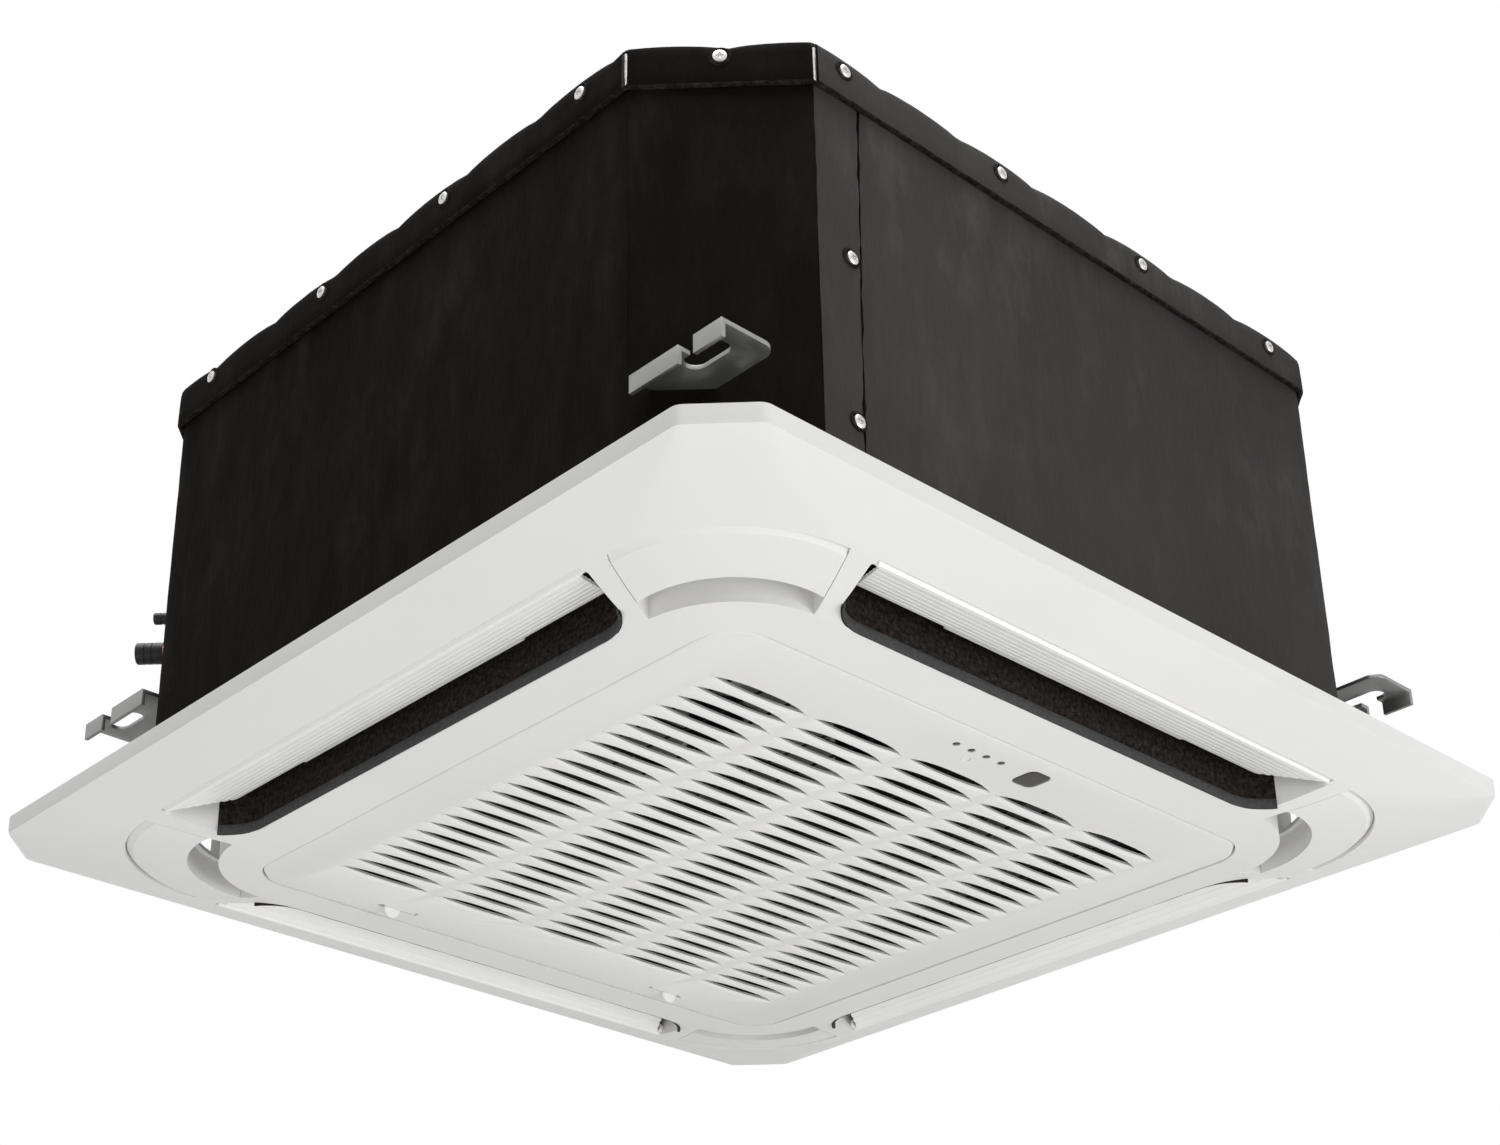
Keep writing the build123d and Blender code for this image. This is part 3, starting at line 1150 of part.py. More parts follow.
pump_x = -PUMP_PLACE
pump_y = PUMP_PLACE
with BuildPart() as drain_pan:
    with BuildSketch(Plane.XY.offset(PAN_BOTTOM)):
        add(body_outline(LINER_HALF))
        Circle(PAN_HOLE, mode=Mode.SUBTRACT)
    extrude(amount=PAN_TOP - PAN_BOTTOM)
    with BuildSketch(Plane.XY.offset(TROUGH_FLOOR)):
        RectangleRounded(2 * TROUGH_OUTER, 2 * TROUGH_OUTER, COIL_ROUND + TROUGH_OUTER - COIL_OUTER)
        RectangleRounded(
            2 * TROUGH_INNER, 2 * TROUGH_INNER, COIL_ROUND - COIL_OUTER + TROUGH_INNER, mode=Mode.SUBTRACT
        )
    extrude(amount=PAN_TOP - TROUGH_FLOOR, mode=Mode.SUBTRACT)
    # air ducts on the four sides
    with BuildSketch(Plane.XY.offset(PAN_BOTTOM)):
        with PolarLocations((OUTLET_INNER + DUCT_TOP_OUTER) / 2, 4):
            Rectangle(DUCT_TOP_OUTER - OUTLET_INNER, 2 * DUCT_REACH)
    extrude(amount=PAN_TOP - PAN_BOTTOM, mode=Mode.SUBTRACT)
    # bars that reach down along the inner side of the outlets
    with BuildSketch(Plane.XY.offset(BAR_BOTTOM)):
        with PolarLocations((BAR_INNER + OUTLET_INNER - RUNNING_GAP) / 2, 4):
            Rectangle(OUTLET_INNER - RUNNING_GAP - BAR_INNER, 2 * BAR_REACH)
    extrude(amount=PAN_BOTTOM + SHEET - BAR_BOTTOM)
    # sump under the pump and the float
    with BuildSketch(Plane.XY.offset(SUMP_FLOOR)):
        with Locations((pump_x, pump_y)):
            Circle(SUMP_RADIUS)
        with Locations((FLOAT_X, FLOAT_Y)):
            Circle(FLOAT_RADIUS + FLOAT_WELL_GAP)
    extrude(amount=PAN_TOP - SUMP_FLOOR, mode=Mode.SUBTRACT)
    with BuildSketch(Plane.XY.offset(PAN_BOTTOM)):
        with Locations(bolt_places):
            Circle(PANEL_BOLT_RADIUS + BOLT_CLEARANCE)
    extrude(amount=PANEL_BOLT_END + SHEET - PAN_BOTTOM, mode=Mode.SUBTRACT)
drain_pan.part.label = "drain_pan"
export_step(drain_pan.part, "parts/drain_pan.step")

# ---------------------------------------------------------------- heat exchanger and pipes
with BuildPart() as evaporator_fins:
    with BuildSketch(Plane.XY.offset(COIL_BOTTOM)):
        RectangleRounded(2 * COIL_OUTER, 2 * COIL_OUTER, COIL_ROUND)
        RectangleRounded(2 * COIL_INNER, 2 * COIL_INNER, COIL_ROUND - COIL_DEPTH, mode=Mode.SUBTRACT)
        with Locations((-COIL_OUTER - 1, -COIL_OUTER - 1)):
            Rectangle(*[COIL_OUTER + 1 - COIL_END] * 2, align=(Align.MIN, Align.MIN), mode=Mode.SUBTRACT)
    extrude(amount=COIL_TOP - COIL_BOTTOM)
evaporator_fins.part.label = "evaporator_fins"
export_step(evaporator_fins.part, "parts/evaporator_fins.step")

# hairpin bends and the header tubes at the two ends of the coil
TUBE_ROWS = (COIL_OUTER - COIL_DEPTH / 4, COIL_OUTER - 3 * COIL_DEPTH / 4)
with BuildPart() as evaporator_tubes:
    for level in range(TUBE_LEVELS):
        tube_z = COIL_BOTTOM + TUBE_PITCH * (level + 0.6)
        for flip in (False, True):
            rows = [(-row, -COIL_END) for row in TUBE_ROWS]
            if flip:
                rows = [(y, x) for x, y in rows]
            out = (0, -1) if not flip else (-1, 0)
            near = Vector(rows[0][0], rows[0][1], tube_z)
            far = Vector(rows[1][0], rows[1][1], tube_z)
            step = Vector(out[0], out[1], 0) * TUBE_BEND
            with BuildLine() as bend:
                FilletPolyline(near, near + step, far + step, far, radius=TUBE_BEND_RADIUS)
            with BuildSketch(Plane(origin=near, z_dir=(out[0], out[1], 0))):
                Circle(TUBE_RADIUS)
            sweep(path=bend.line)
evaporator_tubes.part.label = "evaporator_tubes"
export_step(evaporator_tubes.part, "parts/evaporator_tubes.step")

with BuildPart() as pipe_plate:
    with BuildSketch(pipe_plane):
        with Locations((0, pipe_window_z)):
            Rectangle(PIPE_PLATE_WIDTH, PIPE_PLATE_HIGH - PIPE_PLATE_LOW)
        with Locations((GAS_PIPE_S, GAS_PIPE_Z)):
            Circle(GAS_PIPE_RADIUS + RUNNING_GAP, mode=Mode.SUBTRACT)
        with Locations((LIQUID_PIPE_S, LIQUID_PIPE_Z)):
            Circle(LIQUID_PIPE_RADIUS + RUNNING_GAP, mode=Mode.SUBTRACT)
    extrude(amount=PLATE_FOAM)
pipe_plate.part.label = "pipe_plate"
export_step(pipe_plate.part, "parts/pipe_plate.step")

PIPES = {
    "gas_pipe": (GAS_PIPE_S, GAS_PIPE_Z, GAS_PIPE_RADIUS, GAS_PIPE_REACH),
    "liquid_pipe": (LIQUID_PIPE_S, LIQUID_PIPE_Z, LIQUID_PIPE_RADIUS, LIQUID_PIPE_REACH),
}
pipe_inner = PIPE_INNER_END - CHAMFER_CASING
for pipe_name, (place_s, place_z, radius, reach) in PIPES.items():
    with BuildPart() as pipe:
        with BuildSketch(pipe_plane.offset(pipe_inner)):
            with Locations((place_s, place_z)):
                Circle(radius)
                Circle(radius - PIPE_WALL, mode=Mode.SUBTRACT)
        extrude(amount=JACKET + reach - pipe_inner)
    pipe.part.label = pipe_name
    export_step(pipe.part, f"parts/{pipe_name}.step")

with BuildPart() as pipe_caps:
    for place_s, place_z, radius, reach in PIPES.values():
        cap_length = min(PIPE_CAP_LENGTH, reach - PIPE_CAP_WALL)
        pipe_end = JACKET + reach
        with BuildSketch(pipe_plane.offset(pipe_end - cap_length)):
            with Locations((place_s, place_z)):
                Circle(radius + PIPE_CAP_WALL)
        extrude(amount=cap_length + 3 * PIPE_CAP_WALL)
        with BuildSketch(pipe_plane.offset(pipe_end - cap_length)):
            with Locations((place_s, place_z)):
                Circle(radius)
        extrude(amount=cap_length, mode=Mode.SUBTRACT)
pipe_caps.part.label = "pipe_caps"
export_step(pipe_caps.part, "parts/pipe_caps.step")

# ---------------------------------------------------------------- drain pump, float and drain stub
pump_place = (-PUMP_PLACE, PUMP_PLACE)
float_place = (FLOAT_X, FLOAT_Y)
HOUSING_BOTTOM = IMPELLER_Z - PUMP_INTAKE
with BuildPart() as drain_pump:
    # lid on the pan, motor above it, intake housing down in the sump
    with BuildSketch(Plane.XY.offset(PAN_TOP)):
        with Locations(pump_place):
            Rectangle(PUMP_LID_LENGTH, 2 * PUMP_RADIUS, rotation=45)
        with Locations(float_place):
            Circle(FLOAT_STEM + RUNNING_GAP, mode=Mode.SUBTRACT)
    extrude(amount=PUMP_BOTTOM - PAN_TOP)
    with BuildSketch(Plane.XY.offset(PUMP_BOTTOM)):
        with Locations(pump_place):
            Circle(PUMP_RADIUS)
    extrude(amount=PUMP_HEIGHT)
    with BuildSketch(Plane.XY.offset(HOUSING_BOTTOM)):
        with Locations(pump_place):
            Circle(IMPELLER_RADIUS + 2 * PUMP_WALL)
    extrude(amount=PAN_TOP - HOUSING_BOTTOM)
    with BuildSketch(Plane.XY.offset(HOUSING_BOTTOM)):
        with Locations(pump_place):
            Circle(IMPELLER_RADIUS + RUNNING_GAP)
    extrude(amount=IMPELLER_HEIGHT + 2 * PUMP_INTAKE, mode=Mode.SUBTRACT)
    with BuildSketch(Plane.XY.offset(HOUSING_BOTTOM)):
        with Locations(pump_place):
            Circle(IMPELLER_SHAFT + PIN_CLEARANCE)
    extrude(amount=PUMP_BOTTOM + PUMP_INTAKE - HOUSING_BOTTOM, mode=Mode.SUBTRACT)
drain_pump.part.label = "drain_pump"
export_step(drain_pump.part, "parts/drain_pump.step")

with BuildPart() as pump_impeller:
    with BuildSketch(Plane.XY.offset(IMPELLER_Z)):
        with Locations(pump_place):
            Circle(2 * IMPELLER_SHAFT)
            for blade_turn in range(0, 360, 90):
                with Locations(Location((0, 0, 0), (0, 0, blade_turn))):
                    Rectangle(IMPELLER_RADIUS, PUMP_WALL, align=(Align.MIN, Align.CENTER))
    extrude(amount=IMPELLER_HEIGHT)
    with BuildSketch(Plane.XY.offset(IMPELLER_Z)):
        with Locations(pump_place):
            Circle(IMPELLER_SHAFT)
    extrude(amount=PUMP_BOTTOM - IMPELLER_Z)
pump_impeller.part.label = "pump_impeller"
export_step(pump_impeller.part, "parts/pump_impeller.step")

HOSE_START = (-PUMP_PLACE - HOSE_SHIFT, PUMP_PLACE - HOSE_SHIFT, PUMP_BOTTOM + PUMP_HEIGHT)
HOSE_RISE = (HOSE_START[0], HOSE_START[1], HOSE_START[2] + HOSE_STRAIGHT)
HOSE_TURN = (-STUB_INNER + HOSE_LEAD, STUB_Y, STUB_Z)
with BuildPart() as drain_hose:
    with BuildLine() as hose_path:
        FilletPolyline(HOSE_START, HOSE_RISE, HOSE_TURN, (-STUB_INNER, STUB_Y, STUB_Z), radius=HOSE_BEND)
    with BuildSketch(Plane(origin=HOSE_START, z_dir=(0, 0, 1))):
        Circle(HOSE_RADIUS)
        Circle(HOSE_BORE, mode=Mode.SUBTRACT)
    sweep(path=hose_path.line)
drain_hose.part.label = "drain_hose"
export_step(drain_hose.part, "parts/drain_hose.step")

stub_shoulder = JACKET_HALF + STUB_SHOULDER_GAP
stub_flange_face = LINER_INSIDE - SEAT_GAP
with BuildPart() as drain_stub:
    # free end for the hose, neck through the wall, flange against the liner
    for radius, start, end in (
        (STUB_RADIUS, stub_shoulder, STUB_END),
        (STUB_NECK, stub_flange_face, stub_shoulder),
        (STUB_FLANGE, STUB_INNER, stub_flange_face),
    ):
        add(stub_round(radius, start, end))
    add(stub_round(STUB_BORE, stub_flange_face, STUB_END), mode=Mode.SUBTRACT)
    add(stub_round(HOSE_BORE, STUB_INNER, stub_flange_face), mode=Mode.SUBTRACT)
drain_stub.part.label = "drain_stub"
export_step(drain_stub.part, "parts/drain_stub.step")

with BuildPart() as float_switch:
    with BuildSketch(Plane.XY.offset(PUMP_BOTTOM)):
        with Locations(float_place):
            Circle(FLOAT_STEM + FLOAT_FLANGE)
    extrude(amount=2 * FLOAT_FLANGE)
    with BuildSketch(Plane.XY.offset(FLOAT_STOP)):
        with Locations(float_place):
            Circle(FLOAT_STEM)
    extrude(amount=PUMP_BOTTOM - FLOAT_STOP)
    with BuildSketch(Plane.XY.offset(FLOAT_STOP)):
        with Locations(float_place):
            Circle(FLOAT_STEM + FLOAT_STOP_RIM)
    extrude(amount=FLOAT_STOP_THICKNESS)
float_switch.part.label = "float_switch"
export_step(float_switch.part, "parts/float_switch.step")

with BuildPart() as float_ring:
    with BuildSketch(Plane.XY.offset(FLOAT_STOP + FLOAT_STOP_THICKNESS + RUNNING_GAP)):
        with Locations(float_place):
            Circle(FLOAT_RADIUS)
            Circle(FLOAT_STEM + PIN_CLEARANCE, mode=Mode.SUBTRACT)
    extrude(amount=FLOAT_HEIGHT)
float_ring.part.label = "float"
export_step(float_ring.part, "parts/float.step")

# ---------------------------------------------------------------- bell mouth, fan and motor
with BuildPart() as bell_mouth:
    with BuildSketch(Plane.XY.offset(BELL_PLATE_BOTTOM)):
        RectangleRounded(2 * BELL_PLATE, 2 * BELL_PLATE, BELL_PLATE_ROUND)
        Circle(BELL_RADIUS, mode=Mode.SUBTRACT)
    extrude(amount=SKIN)
    outside = THROAT_RADIUS + BELL_WALL
    bend_z = BELL_PLATE_BOTTOM + BELL_FLARE
    with BuildSketch(Plane.XZ):
        with BuildLine():
            RadiusArc((BELL_RADIUS, BELL_PLATE_BOTTOM), (THROAT_RADIUS, bend_z), BELL_ARC)
            Polyline((THROAT_RADIUS, bend_z), (THROAT_RADIUS, THROAT_TOP), (outside, THROAT_TOP))
            Line((outside, THROAT_TOP), (outside, bend_z))
            RadiusArc((outside, bend_z), (BELL_RADIUS, PAN_BOTTOM), -BELL_ARC + BELL_WALL)
            Line((BELL_RADIUS, PAN_BOTTOM), (BELL_RADIUS, BELL_PLATE_BOTTOM))
        make_face()
    revolve(axis=Axis.Z)
bell_mouth.part.label = "bell_mouth"
export_step(bell_mouth.part, "parts/bell_mouth.step")

shroud_mid = (FAN_INLET + (FAN_RADIUS - FAN_INLET) / 4, FAN_INLET_Z + 0.62 * (FAN_SHROUD_Z - FAN_INLET_Z))
with BuildPart() as blade_space:
    # the room of the blades, between the inlet cone, the shroud and the back plate
    with BuildSketch(Plane.XZ):
        with BuildLine():
            ThreePointArc(
                (FAN_INLET + FAN_WALL / 2, FAN_INLET_Z + FAN_WALL / 2),
                (shroud_mid[0], shroud_mid[1] + FAN_WALL / 2),
                (FAN_RADIUS - FAN_WALL / 2, FAN_SHROUD_Z - FAN_WALL / 2),
            )
            Polyline(
                (FAN_RADIUS - FAN_WALL / 2, FAN_SHROUD_Z - FAN_WALL / 2),
                (FAN_RADIUS - FAN_WALL / 2, FAN_PLATE_Z + FAN_WALL / 2),
                (BLADE_INNER, FAN_PLATE_Z + FAN_WALL / 2),
                (BLADE_INNER, FAN_INLET_Z + BLADE_INNER / 3),
                (FAN_INLET + FAN_WALL / 2, FAN_INLET_Z + FAN_WALL / 2),
            )
        make_face()
    revolve(axis=Axis.Z)


def on_circle(radius, angle):
    """Point at a radius and an angle in degrees."""
    return (radius * cos(radians(angle)), radius * sin(radians(angle)))


blade_angle = FAN_WALL / BLADE_INNER * 180 / pi
blade_middle = (BLADE_INNER + FAN_RADIUS) / 2
with BuildPart() as fan_blades:
    with BuildSketch(Plane.XY.offset(FAN_INLET_Z)):
        with BuildLine():
            start = on_circle(BLADE_INNER - FAN_WALL, 0)
            start_back = on_circle(BLADE_INNER - FAN_WALL, blade_angle)
            tip = on_circle(FAN_RADIUS + FAN_WALL, BLADE_SWEEP)
            tip_back = on_circle(FAN_RADIUS + FAN_WALL, BLADE_SWEEP + blade_angle / 2)
            ThreePointArc(start, on_circle(blade_middle, BLADE_BEND), tip)
            Line(tip, tip_back)
            ThreePointArc(tip_back, on_circle(blade_middle, BLADE_BEND + blade_angle), start_back)
            Line(start_back, start)
        make_face()
    blade = extrude(amount=FAN_PLATE_Z + FAN_WALL - FAN_INLET_Z)
    for index in range(1, BLADE_COUNT):
        add(blade, rotation=(0, 0, 360 / BLADE_COUNT * index))
    add(blade_space.part, mode=Mode.INTERSECT)

with BuildPart() as turbo_fan:
    add(fan_blades.part)
    with BuildSketch(Plane.XZ):
        with BuildLine():
            inlet_outside = FAN_INLET + FAN_WALL
            above = (shroud_mid[0] - FAN_WALL / 3, shroud_mid[1] + FAN_WALL)
            below = (shroud_mid[0] + FAN_WALL / 3, shroud_mid[1])
            ThreePointArc((FAN_INLET, FAN_INLET_Z), above, (FAN_RADIUS, FAN_SHROUD_Z))
            Line((FAN_RADIUS, FAN_SHROUD_Z), (FAN_RADIUS, FAN_SHROUD_Z - FAN_WALL))
            ThreePointArc((FAN_RADIUS, FAN_SHROUD_Z - FAN_WALL), below, (inlet_outside, FAN_INLET_Z))
            Line((inlet_outside, FAN_INLET_Z), (FAN_INLET, FAN_INLET_Z))
        make_face()
    revolve(axis=Axis.Z)
    with BuildSketch(Plane.XZ):
        Polygon(
            (SHAFT_RADIUS + PIN_CLEARANCE, HUB_PLATE_Z - HUB_BOSS),
            (2 * SHAFT_RADIUS, HUB_PLATE_Z - HUB_BOSS),
            (2 * SHAFT_RADIUS, HUB_PLATE_Z),
            (HUB_RADIUS - 2 * FAN_WALL, HUB_PLATE_Z),
            (HUB_RADIUS, HUB_PLATE_Z + 2 * FAN_WALL),
            (HUB_RADIUS, FAN_PLATE_Z),
            (FAN_RADIUS, FAN_PLATE_Z),
            (FAN_RADIUS, FAN_PLATE_Z + FAN_WALL),
            (HUB_RADIUS - FAN_WALL, FAN_PLATE_Z + FAN_WALL),
            (HUB_RADIUS - FAN_WALL, HUB_PLATE_Z + 3 * FAN_WALL),
            (HUB_RADIUS - 3 * FAN_WALL, HUB_PLATE_Z + FAN_WALL),
            (SHAFT_RADIUS + PIN_CLEARANCE, HUB_PLATE_Z + FAN_WALL),
        )
    revolve(axis=Axis.Z)
turbo_fan.part.label = "turbo_fan"
export_step(turbo_fan.part, "parts/turbo_fan.step")

with BuildPart() as fan_motor:
    with BuildSketch(Plane.XZ):
        Polygon(
            (SHAFT_RADIUS + PIN_CLEARANCE, MOTOR_BOTTOM),
            (MOTOR_RADIUS - MOTOR_EDGE, MOTOR_BOTTOM),
            (MOTOR_RADIUS, MOTOR_BOTTOM + MOTOR_EDGE),
            (MOTOR_RADIUS, MOTOR_TOP),
            (MOTOR_FLANGE_RADIUS, MOTOR_TOP),
            (MOTOR_FLANGE_RADIUS, MOTOR_TOP + MOTOR_FLANGE),
            (0, MOTOR_TOP + MOTOR_FLANGE),
            (0, SHAFT_TOP + RUNNING_GAP),
            (SHAFT_RADIUS + PIN_CLEARANCE, SHAFT_TOP + RUNNING_GAP),
        )
    revolve(axis=Axis.Z)
fan_motor.part.label = "fan_motor"
export_step(fan_motor.part, "parts/fan_motor.step")

with BuildPart() as motor_shaft:
    with BuildSketch(Plane.XY.offset(SHAFT_END)):
        Circle(SHAFT_RADIUS)
    extrude(amount=SHAFT_TOP - SHAFT_END)
motor_shaft.part.label = "motor_shaft"
export_step(motor_shaft.part, "parts/motor_shaft.step")

with BuildPart() as fan_nut:
    with BuildSketch(Plane.XY.offset(HUB_PLATE_Z - HUB_BOSS)):
        RegularPolygon(NUT_RADIUS, 6)
        Circle(SHAFT_RADIUS + PIN_CLEARANCE, mode=Mode.SUBTRACT)
    extrude(amount=-NUT_HEIGHT)
fan_nut.part.label = "fan_nut"
export_step(fan_nut.part, "parts/fan_nut.step")

with BuildPart() as motor_mounts:
    with BuildSketch(Plane.XY.offset(MOTOR_TOP + MOTOR_FLANGE)):
        with PolarLocations(MOUNT_CIRCLE, 3, start_angle=90):
            Circle(MOUNT_RADIUS)
    extrude(amount=CASING_TOP - MOTOR_TOP - MOTOR_FLANGE)
motor_mounts.part.label = "motor_mounts"
export_step(motor_mounts.part, "parts/motor_mounts.step")

# ---------------------------------------------------------------- control box
box_x = (BOX_X_LOW + BOX_X_HIGH) / 2
box_y = (BOX_Y_LOW + BOX_Y_HIGH) / 2
box_length = BOX_X_HIGH - BOX_X_LOW
box_width = BOX_Y_HIGH - BOX_Y_LOW
with BuildPart() as control_box:
    with BuildSketch(Plane.XY.offset(BOX_BOTTOM)):
        with Locations((box_x, box_y)):
            Rectangle(box_length, box_width)
    extrude(amount=BOX_TOP - BOX_BOTTOM)
    with BuildSketch(Plane.XY.offset(BOX_BOTTOM)):
        with Locations((box_x, box_y)):
            Rectangle(box_length - 2 * SHEET, box_width - 2 * SHEET)
    extrude(amount=BOX_TOP - BOX_BOTTOM - SHEET, mode=Mode.SUBTRACT)
    # posts of the board
    with BuildSketch(Plane.XY.offset(BOARD_Z)):
        with Locations((box_x, box_y)):
            with GridLocations(box_length - BOARD_MARGIN, box_width - BOARD_MARGIN, 2, 2):
                Circle(POST_RADIUS)
    extrude(amount=BOX_TOP - SHEET - BOARD_Z)
control_box.part.label = "control_box"
export_step(control_box.part, "parts/control_box.step")

with BuildPart() as control_board:
    with BuildSketch(Plane.XY.offset(BOARD_Z)):
        with Locations((box_x, box_y)):
            Rectangle(box_length - BOARD_MARGIN / 2, box_width - BOARD_MARGIN / 2)
    extrude(amount=-BOARD_THICKNESS)
    with BuildSketch(Plane.XY.offset(BOARD_Z - BOARD_THICKNESS)):
        with Locations((box_x, box_y)):
            with GridLocations(BOARD_PART_PITCH, BOARD_PART_PITCH, BOARD_PARTS, 1):
                Rectangle(BOARD_PART_LENGTH, BOARD_PART_WIDTH)
    extrude(amount=-(BOARD_Z - BOARD_THICKNESS - BOX_BOTTOM - BOARD_PART_GAP))
control_board.part.label = "control_board"
export_step(control_board.part, "parts/control_board.step")

with BuildPart() as control_cover:
    with BuildSketch(Plane.XY.offset(BOX_BOTTOM - SHEET)):
        with Locations((box_x, box_y)):
            Rectangle(box_length, box_width)
    extrude(amount=SHEET)
control_cover.part.label = "control_cover"
export_step(control_cover.part, "parts/control_cover.step")
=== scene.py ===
"""Ceiling cassette air conditioner: dresses the packed parts, lays the studio and sets the camera."""

import math

import bmesh
import bpy
from bpy.props import FloatProperty, FloatVectorProperty, IntProperty, PointerProperty
from mathutils import Matrix, Vector, noise


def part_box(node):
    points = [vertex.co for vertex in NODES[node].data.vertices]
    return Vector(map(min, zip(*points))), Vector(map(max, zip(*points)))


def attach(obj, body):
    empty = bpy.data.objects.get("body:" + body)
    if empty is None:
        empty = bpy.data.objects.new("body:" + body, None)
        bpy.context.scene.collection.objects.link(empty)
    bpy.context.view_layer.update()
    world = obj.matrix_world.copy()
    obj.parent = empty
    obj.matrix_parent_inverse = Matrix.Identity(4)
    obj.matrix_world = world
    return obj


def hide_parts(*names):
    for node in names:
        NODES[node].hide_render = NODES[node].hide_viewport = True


bl_info = {
    "name": "Ceiling cassette air conditioner",
    "version": (1, 0, 0),
    "blender": (4, 5, 0),
    "location": "View3D > Sidebar > Cassette",
    "description": "Builds the visible surfaces of a ceiling cassette air conditioner",
    "category": "Object",
}

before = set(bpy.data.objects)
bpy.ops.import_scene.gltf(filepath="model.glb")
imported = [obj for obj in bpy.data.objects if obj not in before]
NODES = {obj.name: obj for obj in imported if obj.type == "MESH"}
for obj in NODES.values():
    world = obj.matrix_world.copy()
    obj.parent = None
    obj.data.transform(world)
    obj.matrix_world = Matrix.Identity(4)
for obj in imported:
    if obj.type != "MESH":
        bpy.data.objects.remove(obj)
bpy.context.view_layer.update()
PLATE_LOW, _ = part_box("intake_grille")
CAP_LOW, CAP_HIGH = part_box("top_insulation")
PAD_LOW, PAD_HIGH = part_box("side_pad_right")

SIDES = {"right": 0, "back": 90, "left": 180, "front": 270}
CORNERS = {"back_right": (1, 1), "back_left": (-1, 1), "front_left": (-1, -1), "front_right": (1, -1)}
LEG_STEP = 2 - math.sqrt(2)
ROOT_HALF = math.sqrt(0.5)

# places on the intake grille, along X and Y from the panel's centre
LIGHT_X = 0.192
LIGHT_PLACES = (-0.0272, -0.0151, -0.003, 0.0091)
WINDOW_PLACE = (0.1891, 0.0376)
BUTTON_PLACE = (0.1827, -0.0094)
LATCH_PLACE = (-0.196, 0.115)
HINGE_X, HINGE_Z = 0.190, -0.028


# ------------------------------------------------------------------ sizes and colours
def length(name, text, default):
    """A length that can be set, in metres."""
    return FloatProperty(name=name, description=text, default=default, unit="LENGTH", precision=4)


def colour(name, text, default):
    """A colour that can be set."""
    return FloatVectorProperty(
        name=name, description=text, default=default, size=3, min=0.0, max=1.0, subtype="COLOR"
    )


class CassetteSizes(bpy.types.PropertyGroup):
    """Sizes of the dressed pieces."""

    casing_face: length("Casing face", "Distance of the steel casing's sides from the axis", 0.2765)
    casing_leg: length("Casing corner", "How far the casing's corners are cut", 0.06587)
    jacket_face: length("Jacket face", "Distance of the foam jacket's sides from the axis", PAD_HIGH.x)
    board_step: length("Board grid", "Spacing of the points on a foam board", 0.004)
    board_gap: length("Board gap", "Open joint between two foam boards", 0.0006)
    seam_start: length("Seam start", "Place of the seam on the right side, at the top", -0.1785)
    seam_lean: length("Seam lean", "How far the seam leans over its height", -0.007)
    cap_face: length("Cap face", "Distance of the cap's sides from the axis", CAP_HIGH.x)
    scallop_pitch: length("Scallop pitch", "Length of one wave along the cap's top edge", 0.063)
    scallop_depth: length("Scallop depth", "Height of the waves of the cap's top edge", 0.0034)
    slot_length: length("Slot length", "Length of a slot of the intake grille", 0.0705)
    slot_width: length("Slot width", "Widest opening of a slot", 0.0110)
    slot_pitch: length("Slot pitch", "Spacing of the rows of slots", 0.0141)
    column_pitch: length("Column pitch", "Spacing of the columns of slots", 0.0725)
    slot_rows: IntProperty(name="Rows", description="Rows of slots", default=24, min=1)
    slot_columns: IntProperty(name="Columns", description="Columns of slots", default=5, min=1)
    screw_head: length("Screw head", "Radius of a pan head screw", 0.00375)
    vane_thickness: length("Louvre thickness", "Thickness of a louvre away from its outer edge", 0.0020)
    rib_depth: length("Rib depth", "Depth of the lines between a louvre's ribs", 0.0005)


class CassetteColours(bpy.types.PropertyGroup):
    """Colours of the finishes."""

    panel: colour("Panel", "Moulded white of the decoration panel", (0.815, 0.81, 0.797))
    # Painted light: the louvres are the panel's white plastic, but their white is set brighter than the
    # panel's to make up for the smaller amount of light that their tilted undersides get.
    louvre: colour("Louvre", "White of the louvres", (0.95, 0.945, 0.935))
    foam: colour("Foam", "Skin of the foam jacket", (0.0040, 0.0029, 0.0023))
    scuff: colour("Scuff", "Rubbed places on the foam jacket", (0.015, 0.012, 0.010))
    # Painted sheen: the boards on the right side, and the cap's faces that face that way, get this lighter
    # colour in place of the key lamp's sheen on the same black foam.
    smooth_foam: colour("Smooth foam", "Rolled skin of the boards on the right side", (0.039, 0.037, 0.036))
    cut_foam: colour("Cut foam", "Open pores along a cut edge", (0.010, 0.008, 0.007))
    strip: colour("Strip", "Grey foam strip in the outlets", (0.062, 0.062, 0.062))
    zinc: colour("Zinc", "Plated screws", (0.66, 0.65, 0.63))
    steel: colour("Steel", "Galvanised sheet steel", (0.50, 0.50, 0.49))


class CassetteStudio(bpy.types.PropertyGroup):
    """The studio round the object."""

    floor_height: length("Floor height", "Height of the pale floor", -1.35)
    key_power: FloatProperty(name="Key light", description="Power of the large soft light", default=30.0)
    fill_power: FloatProperty(name="Fill light", description="Power of the light from below", default=12.0)
    top_power: FloatProperty(name="Top light", description="Power of the light overhead", default=100.0)
    air_light: FloatProperty(name="Air light", description="Plain light from all round", default=0.235)


def sizes():
    """The sizes that are set in the scene."""
    return bpy.context.scene.cassette_sizes


def colours():
    """The colours that are set in the scene."""
    return bpy.context.scene.cassette_colours


